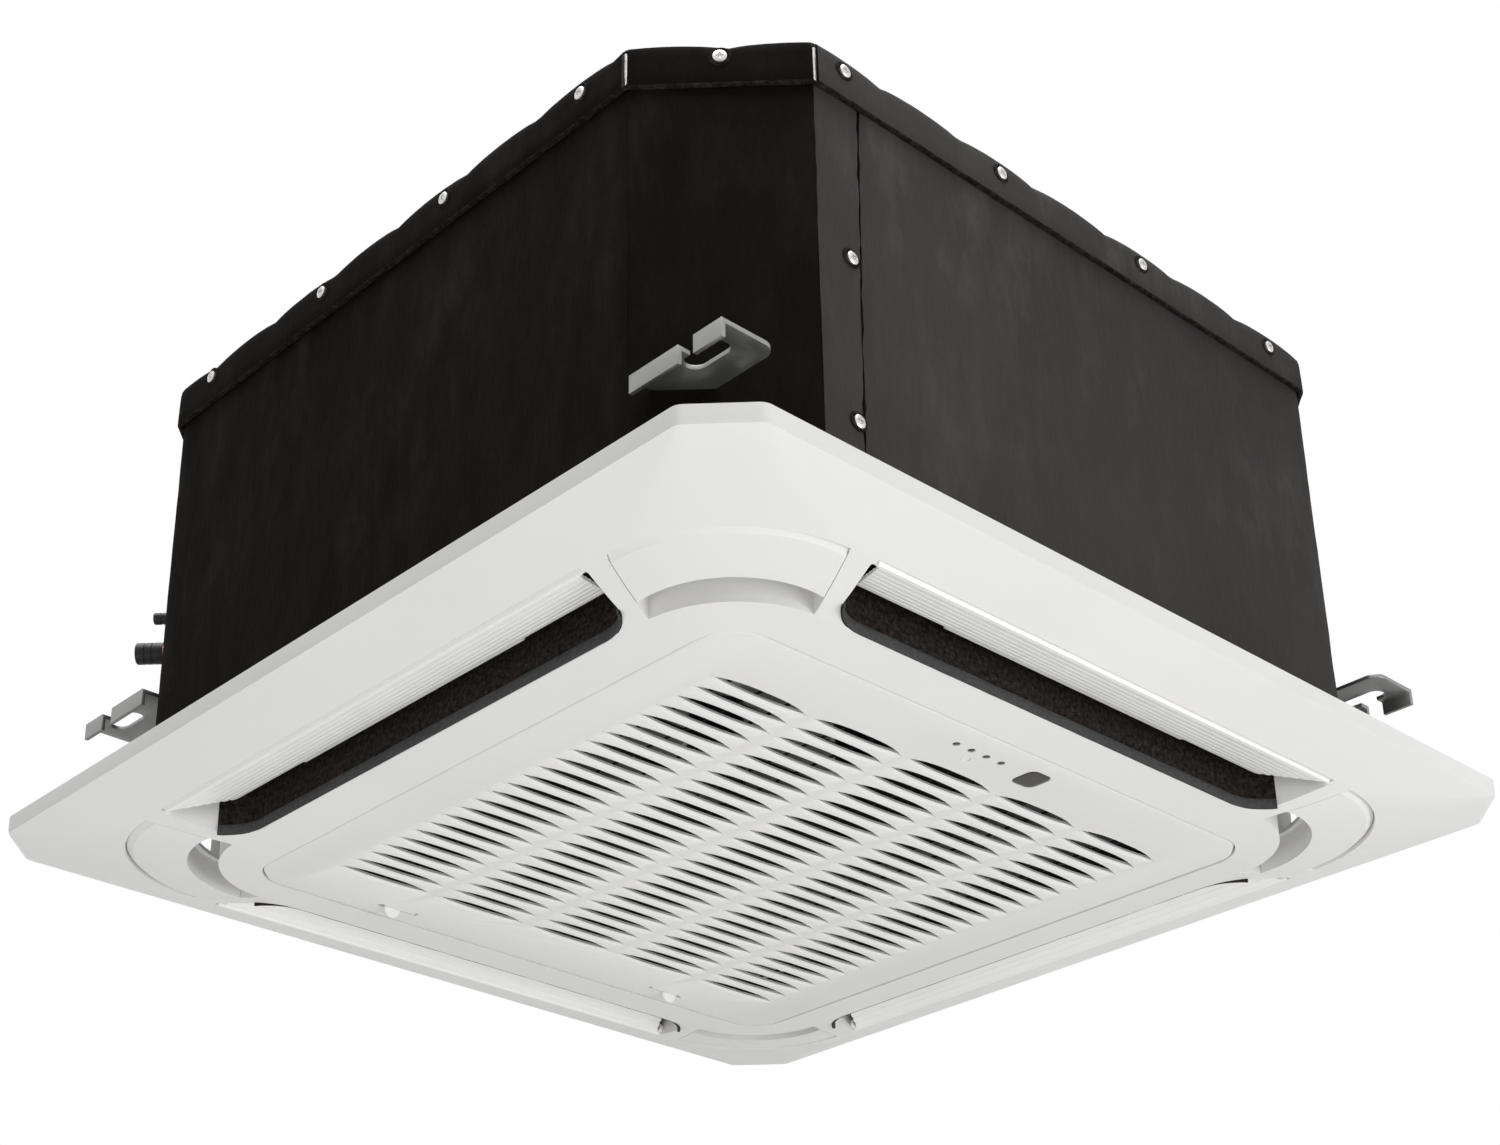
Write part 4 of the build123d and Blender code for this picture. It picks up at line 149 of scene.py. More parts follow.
# ------------------------------------------------------------------ meshes
def new_piece(name, points, faces, smooth_angle=30.0):
    """Mesh object of points and faces, its doubles merged and its faces turned outwards."""
    mesh = bpy.data.meshes.new(name)
    mesh.from_pydata([tuple(p) for p in points], [], [tuple(f) for f in faces])
    shell = bmesh.new()
    shell.from_mesh(mesh)
    bmesh.ops.remove_doubles(shell, verts=shell.verts, dist=1e-6)
    bmesh.ops.recalc_face_normals(shell, faces=shell.faces)
    shell.to_mesh(mesh)
    shell.free()
    mesh.shade_smooth()
    mesh.set_sharp_from_angle(angle=math.radians(smooth_angle))
    piece = bpy.data.objects.new(name, mesh)
    bpy.context.scene.collection.objects.link(piece)
    return piece


def bake_modifiers(piece):
    """Turns the piece's modifiers into plain mesh."""
    graph = bpy.context.evaluated_depsgraph_get()
    made = bpy.data.meshes.new_from_object(piece.evaluated_get(graph))
    piece.modifiers.clear()
    piece.data = made


def refined_copy(node, name, smooth_angle=30.0, bevel=0.0, segments=2):
    """Merged copy of a CAD node with smooth shading and, where asked, rounded edges."""
    source = NODES[node].data
    shell = bmesh.new()
    shell.from_mesh(source)
    bmesh.ops.remove_doubles(shell, verts=shell.verts, dist=2e-6)
    if bevel:
        bmesh.ops.dissolve_limit(
            shell, angle_limit=math.radians(0.5), verts=shell.verts, edges=shell.edges
        )
    shell.verts.index_update()
    points = [vertex.co.copy() for vertex in shell.verts]
    faces = [[vertex.index for vertex in face.verts] for face in shell.faces]
    shell.free()
    mesh = bpy.data.meshes.new(name)
    mesh.from_pydata(points, [], faces)
    mesh.shade_smooth()
    mesh.set_sharp_from_angle(angle=math.radians(smooth_angle))
    piece = bpy.data.objects.new(name, mesh)
    bpy.context.scene.collection.objects.link(piece)
    if bevel:
        edge = piece.modifiers.new("edge", "BEVEL")
        edge.width = bevel
        edge.segments = segments
        edge.limit_method = "ANGLE"
        edge.angle_limit = math.radians(smooth_angle)
        edge.harden_normals = False
        bake_modifiers(piece)
        piece.data.shade_smooth()
        piece.data.set_sharp_from_angle(angle=math.radians(smooth_angle + 15))
    return piece


def settle(piece, body, slot_name, material, *replaced):
    """Gives a piece its material, body and slot, and hides the nodes that it stands for."""
    if material is not None:
        piece.data.materials.clear()
        piece.data.materials.append(material)
    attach(piece, body)
    if replaced:
        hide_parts(*replaced)
    return piece


def filleted(points, radius, steps, share=0.49):
    """Closed outline with its corners rounded, by one radius or a list of them."""
    made = []
    count = len(points)
    radii = radius if isinstance(radius, list) else [radius] * count
    for index in range(count):
        before, here, after = (Vector(points[(index + k - 1) % count]) for k in range(3))
        into, out = (before - here).normalized(), (after - here).normalized()
        half = into.angle(out) / 2
        room = share * min((before - here).length, (after - here).length)
        reach = min(radii[index] / math.tan(half), room)
        centre = here + (into + out).normalized() * reach / math.cos(half)
        start, end = here + into * reach - centre, here + out * reach - centre
        for step in range(steps + 1):
            made.append(centre + start.slerp(end, step / steps) * start.length)
    return made


def cut_square(half, leg, radius, steps=6):
    """Square outline of a half width with its corners cut and rounded."""
    inner = half - leg
    corners = [(half, -inner), (half, inner), (inner, half), (-inner, half)]
    corners += [(-half, inner), (-half, -inner), (-inner, -half), (inner, -half)]
    return filleted(corners, radius, steps) if radius else [Vector(corner) for corner in corners]


# flat faces are filled on a drawing this many times their size
DRAWING_ZOOM = 10


def flat_fill(outline, holes, height):
    """Points and triangles of a flat face with openings in it."""
    drawing = bpy.data.curves.new("drawing", "CURVE")
    drawing.dimensions = "2D"
    drawing.fill_mode = "BOTH"
    for loop in [outline, *holes]:
        spline = drawing.splines.new("POLY")
        spline.points.add(len(loop) - 1)
        for point, place in zip(spline.points, loop):
            point.co = (place[0] * DRAWING_ZOOM, place[1] * DRAWING_ZOOM, 0, 1)
        spline.use_cyclic_u = True
    holder = bpy.data.objects.new("drawing", drawing)
    bpy.context.scene.collection.objects.link(holder)
    graph = bpy.context.evaluated_depsgraph_get()
    mesh = bpy.data.meshes.new_from_object(holder.evaluated_get(graph))
    points = [Vector((v.co.x / DRAWING_ZOOM, v.co.y / DRAWING_ZOOM, height)) for v in mesh.vertices]
    faces = [list(face.vertices) for face in mesh.polygons]
    bpy.data.objects.remove(holder)
    bpy.data.curves.remove(drawing)
    bpy.data.meshes.remove(mesh)
    return points, faces


def add_shell(points, faces, more_points, more_faces):
    """Appends one mesh's points and faces to another's."""
    start = len(points)
    points.extend(more_points)
    faces.extend([[start + index for index in face] for face in more_faces])


def add_loops(points, faces, loops):
    """Appends walls between closed loops that have the same number of points."""
    count = len(loops[0])
    start = len(points)
    for loop in loops:
        points.extend(Vector(point) for point in loop)
    for ring in range(len(loops) - 1):
        for index in range(count):
            a, b = start + ring * count + index, start + ring * count + (index + 1) % count
            faces.append([a, b, b + count, a + count])


def add_closed(points, faces, loops):
    """Appends walls between loops and closes both ends."""
    start, count = len(points), len(loops[0])
    add_loops(points, faces, loops)
    faces.append([start + index for index in range(count)])
    faces.append([len(points) - count + index for index in range(count)])


def circle(radius, steps, centre=(0.0, 0.0)):
    """Flat round loop about a centre."""
    turns = (2 * math.pi * index / steps for index in range(steps))
    return [Vector((centre[0] + radius * math.cos(a), centre[1] + radius * math.sin(a))) for a in turns]


def lifted(loop, height):
    """Flat loop at a height."""
    return [Vector((point[0], point[1], height)) for point in loop]


def wobble(point, pitch, seed):
    """Smooth noise between -1 and 1 for a place, with features of the given size."""
    return noise.noise(Vector((point[0] / pitch, point[1] / pitch, point[2] / pitch + 17.3 * seed)))


# ------------------------------------------------------------------ materials
class Finish:
    """A material under construction: its nodes are made and joined by short calls."""

    def __init__(self, name):
        self.material = bpy.data.materials.new(name)
        self.material.use_nodes = True
        self.tree = self.material.node_tree
        self.shader = self.tree.nodes["Principled BSDF"]
        self.place = self.make("ShaderNodeTexCoord").outputs["Object"]

    def feed(self, socket, value):
        """Joins a socket to another one, or gives it a value."""
        if isinstance(value, bpy.types.NodeSocket):
            self.tree.links.new(value, socket)
        else:
            socket.default_value = value

    def make(self, kind, settings=None, **inputs):
        """New node with its inputs given by name, or by number as i0, i1 and so on."""
        node = self.tree.nodes.new(kind)
        for key, value in (settings or {}).items():
            setattr(node, key, value)
        for key, value in inputs.items():
            numbered = key[0] == "i" and key[1:].isdigit()
            self.feed(node.inputs[int(key[1:]) if numbered else key.replace("_", " ")], value)
        return node

    def set(self, **inputs):
        """Gives the finish's shader its inputs."""
        for key, value in inputs.items():
            self.feed(self.shader.inputs[key.replace("_", " ")], value)

    def stretched(self, scale, turn=(0.0, 0.0, 0.0)):
        """Places scaled apart along the axes and turned."""
        mapping = self.make("ShaderNodeMapping", None, Vector=self.place, Scale=scale, Rotation=turn)
        return mapping.outputs["Vector"]

    def cloud(self, scale, detail=3.0, roughness=0.5, at=None, distortion=0.0):
        """Cloudy noise between 0 and 1."""
        node = self.make(
            "ShaderNodeTexNoise", None, Vector=at or self.place, Scale=scale, Detail=detail,
            Roughness=roughness, Distortion=distortion,
        )
        return node.outputs["Fac"]

    def spread(self, value, low, high, to_low=0.0, to_high=1.0):
        """Stretches one range of a value over another."""
        node = self.make("ShaderNodeMapRange", None, i0=value, i1=low, i2=high, i3=to_low, i4=to_high)
        return node.outputs["Result"]

    def combine(self, operation, first, second):
        """One mathematical operation on two values."""
        node = self.make("ShaderNodeMath", {"operation": operation}, i0=first, i1=second)
        return node.outputs[0]

    def blend(self, share, first, second):
        """Mixes two colours by a share."""
        node = self.make("ShaderNodeMix", {"data_type": "RGBA"}, i0=share)
        for socket, value in ((node.inputs[6], first), (node.inputs[7], second)):
            self.feed(socket, value if isinstance(value, bpy.types.NodeSocket) else (*value, 1.0))
        return node.outputs[2]

    def relief(self, height, depth, strength=1.0, over=None):
        """Bumps of a depth, laid over other bumps where given."""
        node = self.make("ShaderNodeBump", None, Height=height, Distance=depth, Strength=strength)
        if over is not None:
            self.tree.links.new(over, node.inputs["Normal"])
        return node.outputs["Normal"]


def shade(tone, factor):
    """A colour made darker or lighter."""
    return tuple(min(1.0, channel * factor) for channel in tone)


def moulded_plastic(name, tone, roughness=0.42, grain=0.00004, sheen=0.25):
    """Moulded plastic with a fine eroded texture and faint flow marks."""
    finish = Finish(name)
    marks = finish.cloud(6.0, 4.0)
    streaks = finish.spread(marks, 0.3, 0.7)
    finish.set(Base_Color=finish.blend(streaks, shade(tone, 0.975), shade(tone, 1.015)))
    finish.set(Roughness=finish.spread(finish.cloud(35.0, 3.0), 0.3, 0.7, roughness - 0.05, roughness + 0.06))
    fine = finish.relief(finish.cloud(2600.0, 2.0, 0.6), grain, 0.5)
    finish.set(Normal=finish.relief(finish.cloud(18.0, 2.0), 0.0004, 0.12, fine), Specular_IOR_Level=sheen)
    return finish.material


def foam_skin(name, tone, scuff_and_sheen_tone, shift=0.0, sheen=0.06):
    """Closed skin of black foam: fine upright fibres, rubbed patches, shallow wrinkles."""
    finish = Finish(name)
    fibres = finish.cloud(1.0, 4.0, 0.6, finish.stretched((620.0, 620.0, 120.0)))
    brushed = finish.cloud(1.0, 5.0, 0.62, finish.stretched((46.0, 46.0, 17.0), (0.5, 0.35 + shift, 0.2)))
    patches = finish.cloud(5.5, 4.0, 0.6, finish.stretched((1.0, 1.0, 1.3), (0.2, 0.4, shift)))
    worn = finish.combine("MULTIPLY", finish.spread(brushed, 0.46, 0.72), finish.spread(patches, 0.44, 0.66))
    grey = finish.combine("ADD", worn, finish.spread(fibres, 0.35, 0.75, 0.0, 0.22))
    areas = finish.spread(finish.cloud(3.2, 3.0), 0.35, 0.65)
    dark = finish.blend(areas, shade(tone, 0.72), shade(tone, 1.12))
    finish.set(Base_Color=finish.blend(grey, dark, scuff_and_sheen_tone))
    finish.set(Roughness=finish.spread(brushed, 0.3, 0.7, 0.95, 0.8))
    wrinkles = finish.cloud(1.0, 6.0, 0.62, finish.stretched((150.0, 150.0, 22.0)), 1.0)
    ridges = finish.combine("ABSOLUTE", finish.combine("SUBTRACT", wrinkles, 0.5), 0.0)
    pits = finish.relief(fibres, 0.00012, 0.5)
    folds = finish.relief(finish.spread(ridges, 0.0, 0.06), 0.0004, 0.3, pits)
    finish.set(Normal=folds, Specular_IOR_Level=sheen)
    return finish.material


def cut_foam(name, tone, pores=900.0, bright=4.0):
    """Open pores of cut foam."""
    finish = Finish(name)
    cells = finish.make("ShaderNodeTexVoronoi", None, Vector=finish.place, Scale=pores).outputs["Distance"]
    clumps = finish.cloud(pores / 3, 3.0)
    grey = finish.combine("MULTIPLY", finish.spread(cells, 0.15, 0.6), finish.spread(clumps, 0.35, 0.7))
    finish.set(Base_Color=finish.blend(grey, tone, shade(tone, bright)), Roughness=0.85)
    finish.set(Normal=finish.relief(cells, 0.0006, 0.7), Specular_IOR_Level=0.04)
    return finish.material


def metal(name, tone, roughness=0.35, spangle=0.0, brushed=False):
    """Bare or plated metal, with zinc flowers or brush lines where asked."""
    finish = Finish(name)
    if spangle:
        cells = finish.make("ShaderNodeTexVoronoi", None, Vector=finish.place, Scale=spangle).outputs["Color"]
        flower = finish.make("ShaderNodeSeparateColor", None, Color=cells).outputs[0]
    else:
        flower = finish.cloud(60.0, 4.0)
    finish.set(Base_Color=finish.blend(flower, shade(tone, 0.84), shade(tone, 1.08)), Metallic=0.92)
    finish.set(Roughness=finish.spread(flower, 0.2, 0.8, roughness - 0.07, roughness + 0.1))
    if brushed:
        grain = finish.cloud(1.0, 3.0, 0.6, finish.stretched((900.0, 900.0, 60.0)))
    else:
        grain = finish.cloud(700.0, 2.0)
    finish.set(Normal=finish.relief(grain, 0.00003, 0.4))
    return finish.material


def enamel(name, tone):
    """Painted metal with slight orange peel."""
    finish = Finish(name)
    finish.set(Base_Color=finish.blend(finish.cloud(12.0), shade(tone, 0.94), shade(tone, 1.04)))
    finish.set(Roughness=finish.spread(finish.cloud(40.0), 0.3, 0.7, 0.35, 0.48))
    finish.set(Normal=finish.relief(finish.cloud(480.0, 2.0), 0.00006, 0.3))
    return finish.material


def finned(name, tone):
    """Stacked aluminium fins: fine upright lines that follow the side they are on."""
    finish = Finish(name)
    waves = []
    for axis in ("X", "Y"):
        saw = {"bands_direction": axis, "wave_profile": "SAW"}
        node = finish.make("ShaderNodeTexWave", saw, Vector=finish.place, Scale=190.0)
        waves.append(node.outputs["Fac"])
    facing = finish.make("ShaderNodeNewGeometry").outputs["Normal"]
    parts = finish.make("ShaderNodeSeparateXYZ", None, Vector=facing)
    along_x = finish.combine("GREATER_THAN", finish.combine("ABSOLUTE", parts.outputs[0], 0.0), 0.7)
    chosen = finish.make("ShaderNodeMix", {"data_type": "FLOAT"}, i0=along_x, i2=waves[0], i3=waves[1])
    lines = chosen.outputs[0]
    finish.set(Base_Color=finish.blend(lines, shade(tone, 0.35), tone), Metallic=0.85, Roughness=0.38)
    finish.set(Normal=finish.relief(lines, 0.0008, 0.8))
    return finish.material


def circuit(name, tone):
    """Green board with lighter tracks."""
    finish = Finish(name)
    bricks = finish.make(
        "ShaderNodeTexBrick", None, Vector=finish.stretched((160.0, 160.0, 160.0)), Color1=(*tone, 1),
        Color2=(*shade(tone, 0.8), 1), Mortar=(*shade(tone, 1.9), 1), Mortar_Size=0.06,
    )
    finish.set(Base_Color=bricks.outputs["Color"], Roughness=0.4)
    return finish.material


def clear_lens(name, tone, roughness=0.12):
    """Dark glossy lens with a trace of haze."""
    finish = Finish(name)
    finish.set(Base_Color=finish.blend(finish.cloud(90.0), shade(tone, 0.8), shade(tone, 1.2)))
    finish.set(Roughness=finish.spread(finish.cloud(160.0), 0.3, 0.7, roughness, roughness + 0.08))
    finish.set(Coat_Weight=0.6, Coat_Roughness=0.08)
    return finish.material


MATERIALS = {}


def material(key):
    """The finish of that name; all finishes are made once."""
    if not MATERIALS:
        tone = colours()
        # Painted sheen: rolled is the right side's foam colour painted lighter for the key lamp's sheen, and
        # the second tone is its scuffs, made lighter with it.
        rolled, scuff_and_sheen_tone = tone.smooth_foam, shade(tone.smooth_foam, 1.7)
        MATERIALS.update(
            panel=moulded_plastic("panel_white", tone.panel),
            grille=moulded_plastic("grille_white", shade(tone.panel, 0.99), 0.45),
            # The louvres' brighter white is painted light, set to make up for the light their undersides
            # miss.
            louvre=moulded_plastic("louvre_white_painted_light", tone.louvre, 0.38, 0.00004, 0.8),
            foam=foam_skin("jacket_foam", tone.foam, tone.scuff),
            smooth_foam=foam_skin("smooth_foam", rolled, scuff_and_sheen_tone, 0.6, 0.12),
            corner_foam=foam_skin("corner_foam", tone.foam, shade(tone.scuff, 0.8), 1.1),
            cap=foam_skin("cap_foam", shade(tone.foam, 0.9), shade(tone.scuff, 0.75), 2.3),
            smooth_cap=foam_skin("smooth_cap", shade(rolled, 1.1), scuff_and_sheen_tone, 2.9, 0.12),
            lining=cut_foam("outlet_foam", tone.cut_foam, 1000.0, 5.0),
            cut=cut_foam("cut_foam", tone.cut_foam),
            pan=cut_foam("pan_foam", shade(tone.cut_foam, 1.2), 420.0, 3.4),
            strip=cut_foam("grey_strip", tone.strip, 1500.0, 1.5),
            zinc=metal("zinc", tone.zinc, 0.3),
            steel=metal("galvanised_steel", tone.steel, 0.42, 160.0),
            bracket=metal("bracket_steel", shade(tone.steel, 0.62), 0.40, brushed=True),
            copper=metal("copper", (0.72, 0.36, 0.20), 0.3, brushed=True),
            fins=finned("aluminium_fins", (0.78, 0.79, 0.80)),
            mesh=moulded_plastic("filter_black", (0.012, 0.012, 0.012), 0.55),
            fan=moulded_plastic("fan_grey", (0.62, 0.62, 0.60), 0.5),
            dark=moulded_plastic("bell_black", (0.02, 0.02, 0.02), 0.5),
            rubber=moulded_plastic("rubber_black", (0.018, 0.018, 0.018), 0.7, 0.0001),
            pipe_cap=moulded_plastic("pipe_cap_black", (0.014, 0.014, 0.014), 0.35),
            motor=enamel("motor_black", (0.03, 0.03, 0.033)),
            box=metal("control_box_steel", (0.72, 0.73, 0.74), 0.45, 140.0),
            board=circuit("board_green", (0.03, 0.16, 0.07)),
            pump=moulded_plastic("pump_white", (0.72, 0.72, 0.70), 0.45),
            hose=clear_lens("hose_clear", (0.62, 0.64, 0.64), 0.3),
            lamp=clear_lens("light_dark", (0.035, 0.032, 0.030)),
            window=clear_lens("window_dark", (0.012, 0.009, 0.008), 0.18),
        )
    return MATERIALS[key]


# ------------------------------------------------------------------ repeats
def input_socket(tree, name, kind):
    """New input of a node tree."""
    return tree.interface.new_socket(name=name, in_out="INPUT", socket_type=kind)


def repeat_tree(name):
    """Node tree that puts a template on every point, turned to face the point's direction."""
    tree = bpy.data.node_groups.new(name, "GeometryNodeTree")
    input_socket(tree, "Geometry", "NodeSocketGeometry")
    kinds = {"Template": "NodeSocketObject", "Size": "NodeSocketFloat", "Finish": "NodeSocketMaterial"}
    names = {label: input_socket(tree, label, kind).identifier for label, kind in kinds.items()}
    tree.interface.new_socket(name="Geometry", in_out="OUTPUT", socket_type="NodeSocketGeometry")
    nodes, links = tree.nodes, tree.links
    start, end = nodes.new("NodeGroupInput"), nodes.new("NodeGroupOutput")
    facing = nodes.new("GeometryNodeInputNamedAttribute")
    facing.data_type = "FLOAT_VECTOR"
    facing.inputs["Name"].default_value = "facing"
    rolled = nodes.new("GeometryNodeInputNamedAttribute")
    rolled.data_type = "FLOAT"
    rolled.inputs["Name"].default_value = "roll"
    turn = nodes.new("FunctionNodeAlignRotationToVector")
    turn.axis = "Z"
    roll_vector = nodes.new("ShaderNodeCombineXYZ")
    spin = nodes.new("FunctionNodeRotateRotation")
    spin.rotation_space = "LOCAL"
    template = nodes.new("GeometryNodeObjectInfo")
    place = nodes.new("GeometryNodeInstanceOnPoints")
    solid = nodes.new("GeometryNodeRealizeInstances")
    painted = nodes.new("GeometryNodeSetMaterial")
    links.new(start.outputs["Template"], template.inputs["Object"])
    links.new(start.outputs["Geometry"], place.inputs["Points"])
    links.new(template.outputs["Geometry"], place.inputs["Instance"])
    links.new(facing.outputs["Attribute"], turn.inputs["Vector"])
    links.new(rolled.outputs["Attribute"], roll_vector.inputs["Z"])
    links.new(turn.outputs["Rotation"], spin.inputs["Rotation"])
    links.new(roll_vector.outputs["Vector"], spin.inputs["Rotate By"])
    links.new(spin.outputs["Rotation"], place.inputs["Rotation"])
    links.new(start.outputs["Size"], place.inputs["Scale"])
    links.new(place.outputs["Instances"], solid.inputs["Geometry"])
    links.new(solid.outputs["Geometry"], painted.inputs["Geometry"])
    links.new(start.outputs["Finish"], painted.inputs["Material"])
    links.new(painted.outputs["Geometry"], end.inputs["Geometry"])
    return tree, names


def repeat_piece(name, template, spots, finish):
    """One mesh of a template at many spots, each (place, direction, roll); removes the template."""
    tree, names = repeat_tree(name + "_repeat")
    mesh = bpy.data.meshes.new(name)
    mesh.from_pydata([tuple(spot[0]) for spot in spots], [], [])
    mesh.attributes.new("facing", "FLOAT_VECTOR", "POINT")
    mesh.attributes.new("roll", "FLOAT", "POINT")
    for index, spot in enumerate(spots):
        mesh.attributes["facing"].data[index].vector = spot[1]
        mesh.attributes["roll"].data[index].value = spot[2]
    piece = bpy.data.objects.new(name, mesh)
    bpy.context.scene.collection.objects.link(piece)
    modifier = piece.modifiers.new("repeat", "NODES")
    modifier.node_group = tree
    modifier[names["Template"]] = template
    modifier[names["Size"]] = 1.0
    modifier[names["Finish"]] = finish
    bake_modifiers(piece)
    piece.data.shade_smooth()
    piece.data.set_sharp_from_angle(angle=math.radians(35.0))
    bpy.data.objects.remove(template)
    bpy.data.node_groups.remove(tree)
    return piece


# ------------------------------------------------------------------ body outline
def corner_cut(face):
    """How far the octagon's corners are cut at a face distance."""
    return sizes().casing_leg + LEG_STEP * (face - sizes().casing_face)


def side_basis(turn):
    """Directions out of and along a long side."""
    angle = math.radians(turn)
    out = Vector((round(math.cos(angle)), round(math.sin(angle)), 0))
    return out, Vector((-out.y, out.x, 0))


def corner_basis(signs):
    """Directions out of and along a cut corner."""
    return Vector((*signs, 0)) * ROOT_HALF, Vector((-signs[1], signs[0], 0)) * ROOT_HALF


def side_measure(face, cut):
    """Distance and half width of a long side or a cut corner at a face distance."""
    leg = corner_cut(face)
    if cut:
        return (2 * face - leg) * ROOT_HALF, leg * ROOT_HALF
    return face, face - leg


# ------------------------------------------------------------------ pieces: jacket
# soft waves of a foam board, as (depth, length)
BROAD_WAVE, FINE_WAVE = (0.0006, 0.09), (0.00028, 0.022)
# how far a board's face lies inside its size, and how its rim tucks in, as (depth, width)
BOARD_INSET, RIM_TUCK = 0.0004, (0.0009, 0.006)
# half gap of the seam on the right side, and how far its edges wander
SEAM_HALF, SEAM_WANDER = 0.0007, 0.0011
CORNER_WANDER = 0.0003
PIPE_OPENING_HALF = 0.0373


def foam_board(points, faces, basis, cut, span, low, high, seed, opening=None):
    """Soft board on one side of the body. span gives its two edges as functions of height."""
    size = sizes()
    outer, _ = side_measure(size.jacket_face, cut)
    inner, _ = side_measure(size.casing_face, cut)
    shrink = side_measure(size.casing_face, cut)[1] / side_measure(size.jacket_face, cut)[1]
    out, along = basis
    rows = max(2, round((high - low) / size.board_step))
    width = span[1](low) - span[0](low)
    columns = max(2, round(width / size.board_step))
    shares = [index / columns for index in range(columns + 1)]
    heights = [low + (high - low) * index / rows for index in range(rows + 1)]
    if opening:
        shares = sorted(set(shares + [(edge - span[0](low)) / width for edge in opening[:2]]))
        heights = sorted(set(heights + list(opening[2:])))
    start = len(points)
    across = len(shares)

    def place(share, height, depth):
        left, right = span[0](height), span[1](height)
        s = left + (right - left) * share
        if depth:
            return out * inner + along * s * shrink + Vector((0, 0, height))
        spot = out * outer + along * s
        rim = min(s - left, right - s, height - low, high - height)
        tuck = max(0.0, 1 - rim / RIM_TUCK[1]) ** 2
        broad = BROAD_WAVE[0] * wobble((s, height, 0), BROAD_WAVE[1], seed)
        fine = FINE_WAVE[0] * wobble((s, height, 0), FINE_WAVE[1], seed + 3)
        return spot + out * (broad + fine - BOARD_INSET - RIM_TUCK[0] * tuck) + Vector((0, 0, height))

    for height in heights:
        for share in shares:
            points.append(place(share, height, False))
    for row in range(len(heights) - 1):
        for column in range(across - 1):
            if opening:
                middle_s = span[0](low) + width * (shares[column] + shares[column + 1]) / 2
                middle_z = (heights[row] + heights[row + 1]) / 2
                if opening[0] < middle_s < opening[1] and opening[2] < middle_z < opening[3]:
                    continue
            a = start + row * across + column
            faces.append([a, a + 1, a + 1 + across, a + across])
    last = len(heights) - 1
    border = [(0, column) for column in range(across)]
    border += [(row, across - 1) for row in range(1, last + 1)]
    border += [(last, column) for column in range(across - 2, -1, -1)]
    border += [(row, 0) for row in range(last - 1, 0, -1)]
    back = len(points)
    for row, column in border:
        points.append(place(shares[column], heights[row], True))
    count = len(border)
    for index in range(count):
        (row_a, column_a), (row_b, column_b) = border[index], border[(index + 1) % count]
        a, b = start + row_a * across + column_a, start + row_b * across + column_b
        faces.append([b, a, back + index, back + (index + 1) % count])
    if opening:
        left, right, bottom, upper = opening
        ring = [(left, bottom), (right, bottom), (right, upper), (left, upper)]
        loops = [
            [out * depth + along * s + Vector((0, 0, height)) for s, height in ring]
            for depth in (outer - 0.0002, inner + 0.0004)
        ]
        add_loops(points, faces, loops)
    else:
        faces.append([back + index for index in range(count)][::-1])


def straight(value):
    """Edge of a board that stands upright."""
    return lambda height: value


def jagged(value, lean, seed, depth):
    """Edge of a board that wanders about a leaning line."""

    def edge(height):
        rise = (PAD_HIGH.z - height) / (PAD_HIGH.z - PAD_LOW.z)
        wander = wobble((height, 0, 0), 0.016, seed) + 0.6 * wobble((height, 0.3, 0), 0.006, seed + 5)
        return value + lean * rise + depth * wander

    return edge


def build_jacket():
    """Foam boards on the four sides and the four cut corners."""
    size = sizes()
    gap = size.board_gap / 2
    _, reach = side_measure(size.jacket_face, False)
    _, corner_reach = side_measure(size.jacket_face, True)
    for seed, (side, turn) in enumerate(SIDES.items()):
        points, faces = [], []
        edges = (straight(gap - reach), straight(reach - gap))
        if side == "right":
            seam_low = jagged(size.seam_start - SEAM_HALF, size.seam_lean, 31, SEAM_WANDER)
            seam_high = jagged(size.seam_start + SEAM_HALF, size.seam_lean, 37, SEAM_WANDER)
            spans = [(edges[0], seam_low), (seam_high, edges[1])]
        else:
            spans = [edges]
        for part, span in enumerate(spans):
            foam_board(
                points, faces, side_basis(turn), False, span, PAD_LOW.z, PAD_HIGH.z, 2.0 * seed + 9.0 * part
            )
        piece = new_piece(f"jacket_{side}", points, faces, 40.0)
        # The right side's boards get the copy painted lighter for the key lamp's sheen.
        skin = material("smooth_foam" if side == "right" else "foam")
        settle(piece, "unit", "jacket_foam", skin, f"side_pad_{side}")
    points, faces = [], []
    for seed, (corner, signs) in enumerate(CORNERS.items()):
        edges = (
            jagged(gap * 2 - corner_reach, 0.0, 40 + seed, CORNER_WANDER),
            jagged(corner_reach - gap * 2, 0.0, 50 + seed, CORNER_WANDER),
        )
        opening = None
        if corner == "front_left":
            plate_low, plate_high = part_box("pipe_plate")
            half = PIPE_OPENING_HALF
            opening = (-half, half, plate_low.z - 0.0003, plate_high.z + 0.0003)
            edges = (straight(gap * 2 - corner_reach), straight(corner_reach - gap * 2))
        foam_board(
            points, faces, corner_basis(signs), True, edges, PAD_LOW.z, PAD_HIGH.z, 21.0 + 3 * seed, opening
        )
    corners = new_piece("jacket_corners", points, faces, 40.0)
    settle(corners, "unit", "jacket_foam", material("corner_foam"), "corner_pads")
    plate = refined_copy("pipe_plate", "pipe_seal", 30.0, 0.0008)
    settle(plate, "unit", "jacket_foam", material("cut"), "pipe_plate")


# ------------------------------------------------------------------ pieces: cap
CAP_STEP = 0.005
CAP_SLIT_HALF, CAP_SLIT_DEPTH = 0.0008, 0.0016


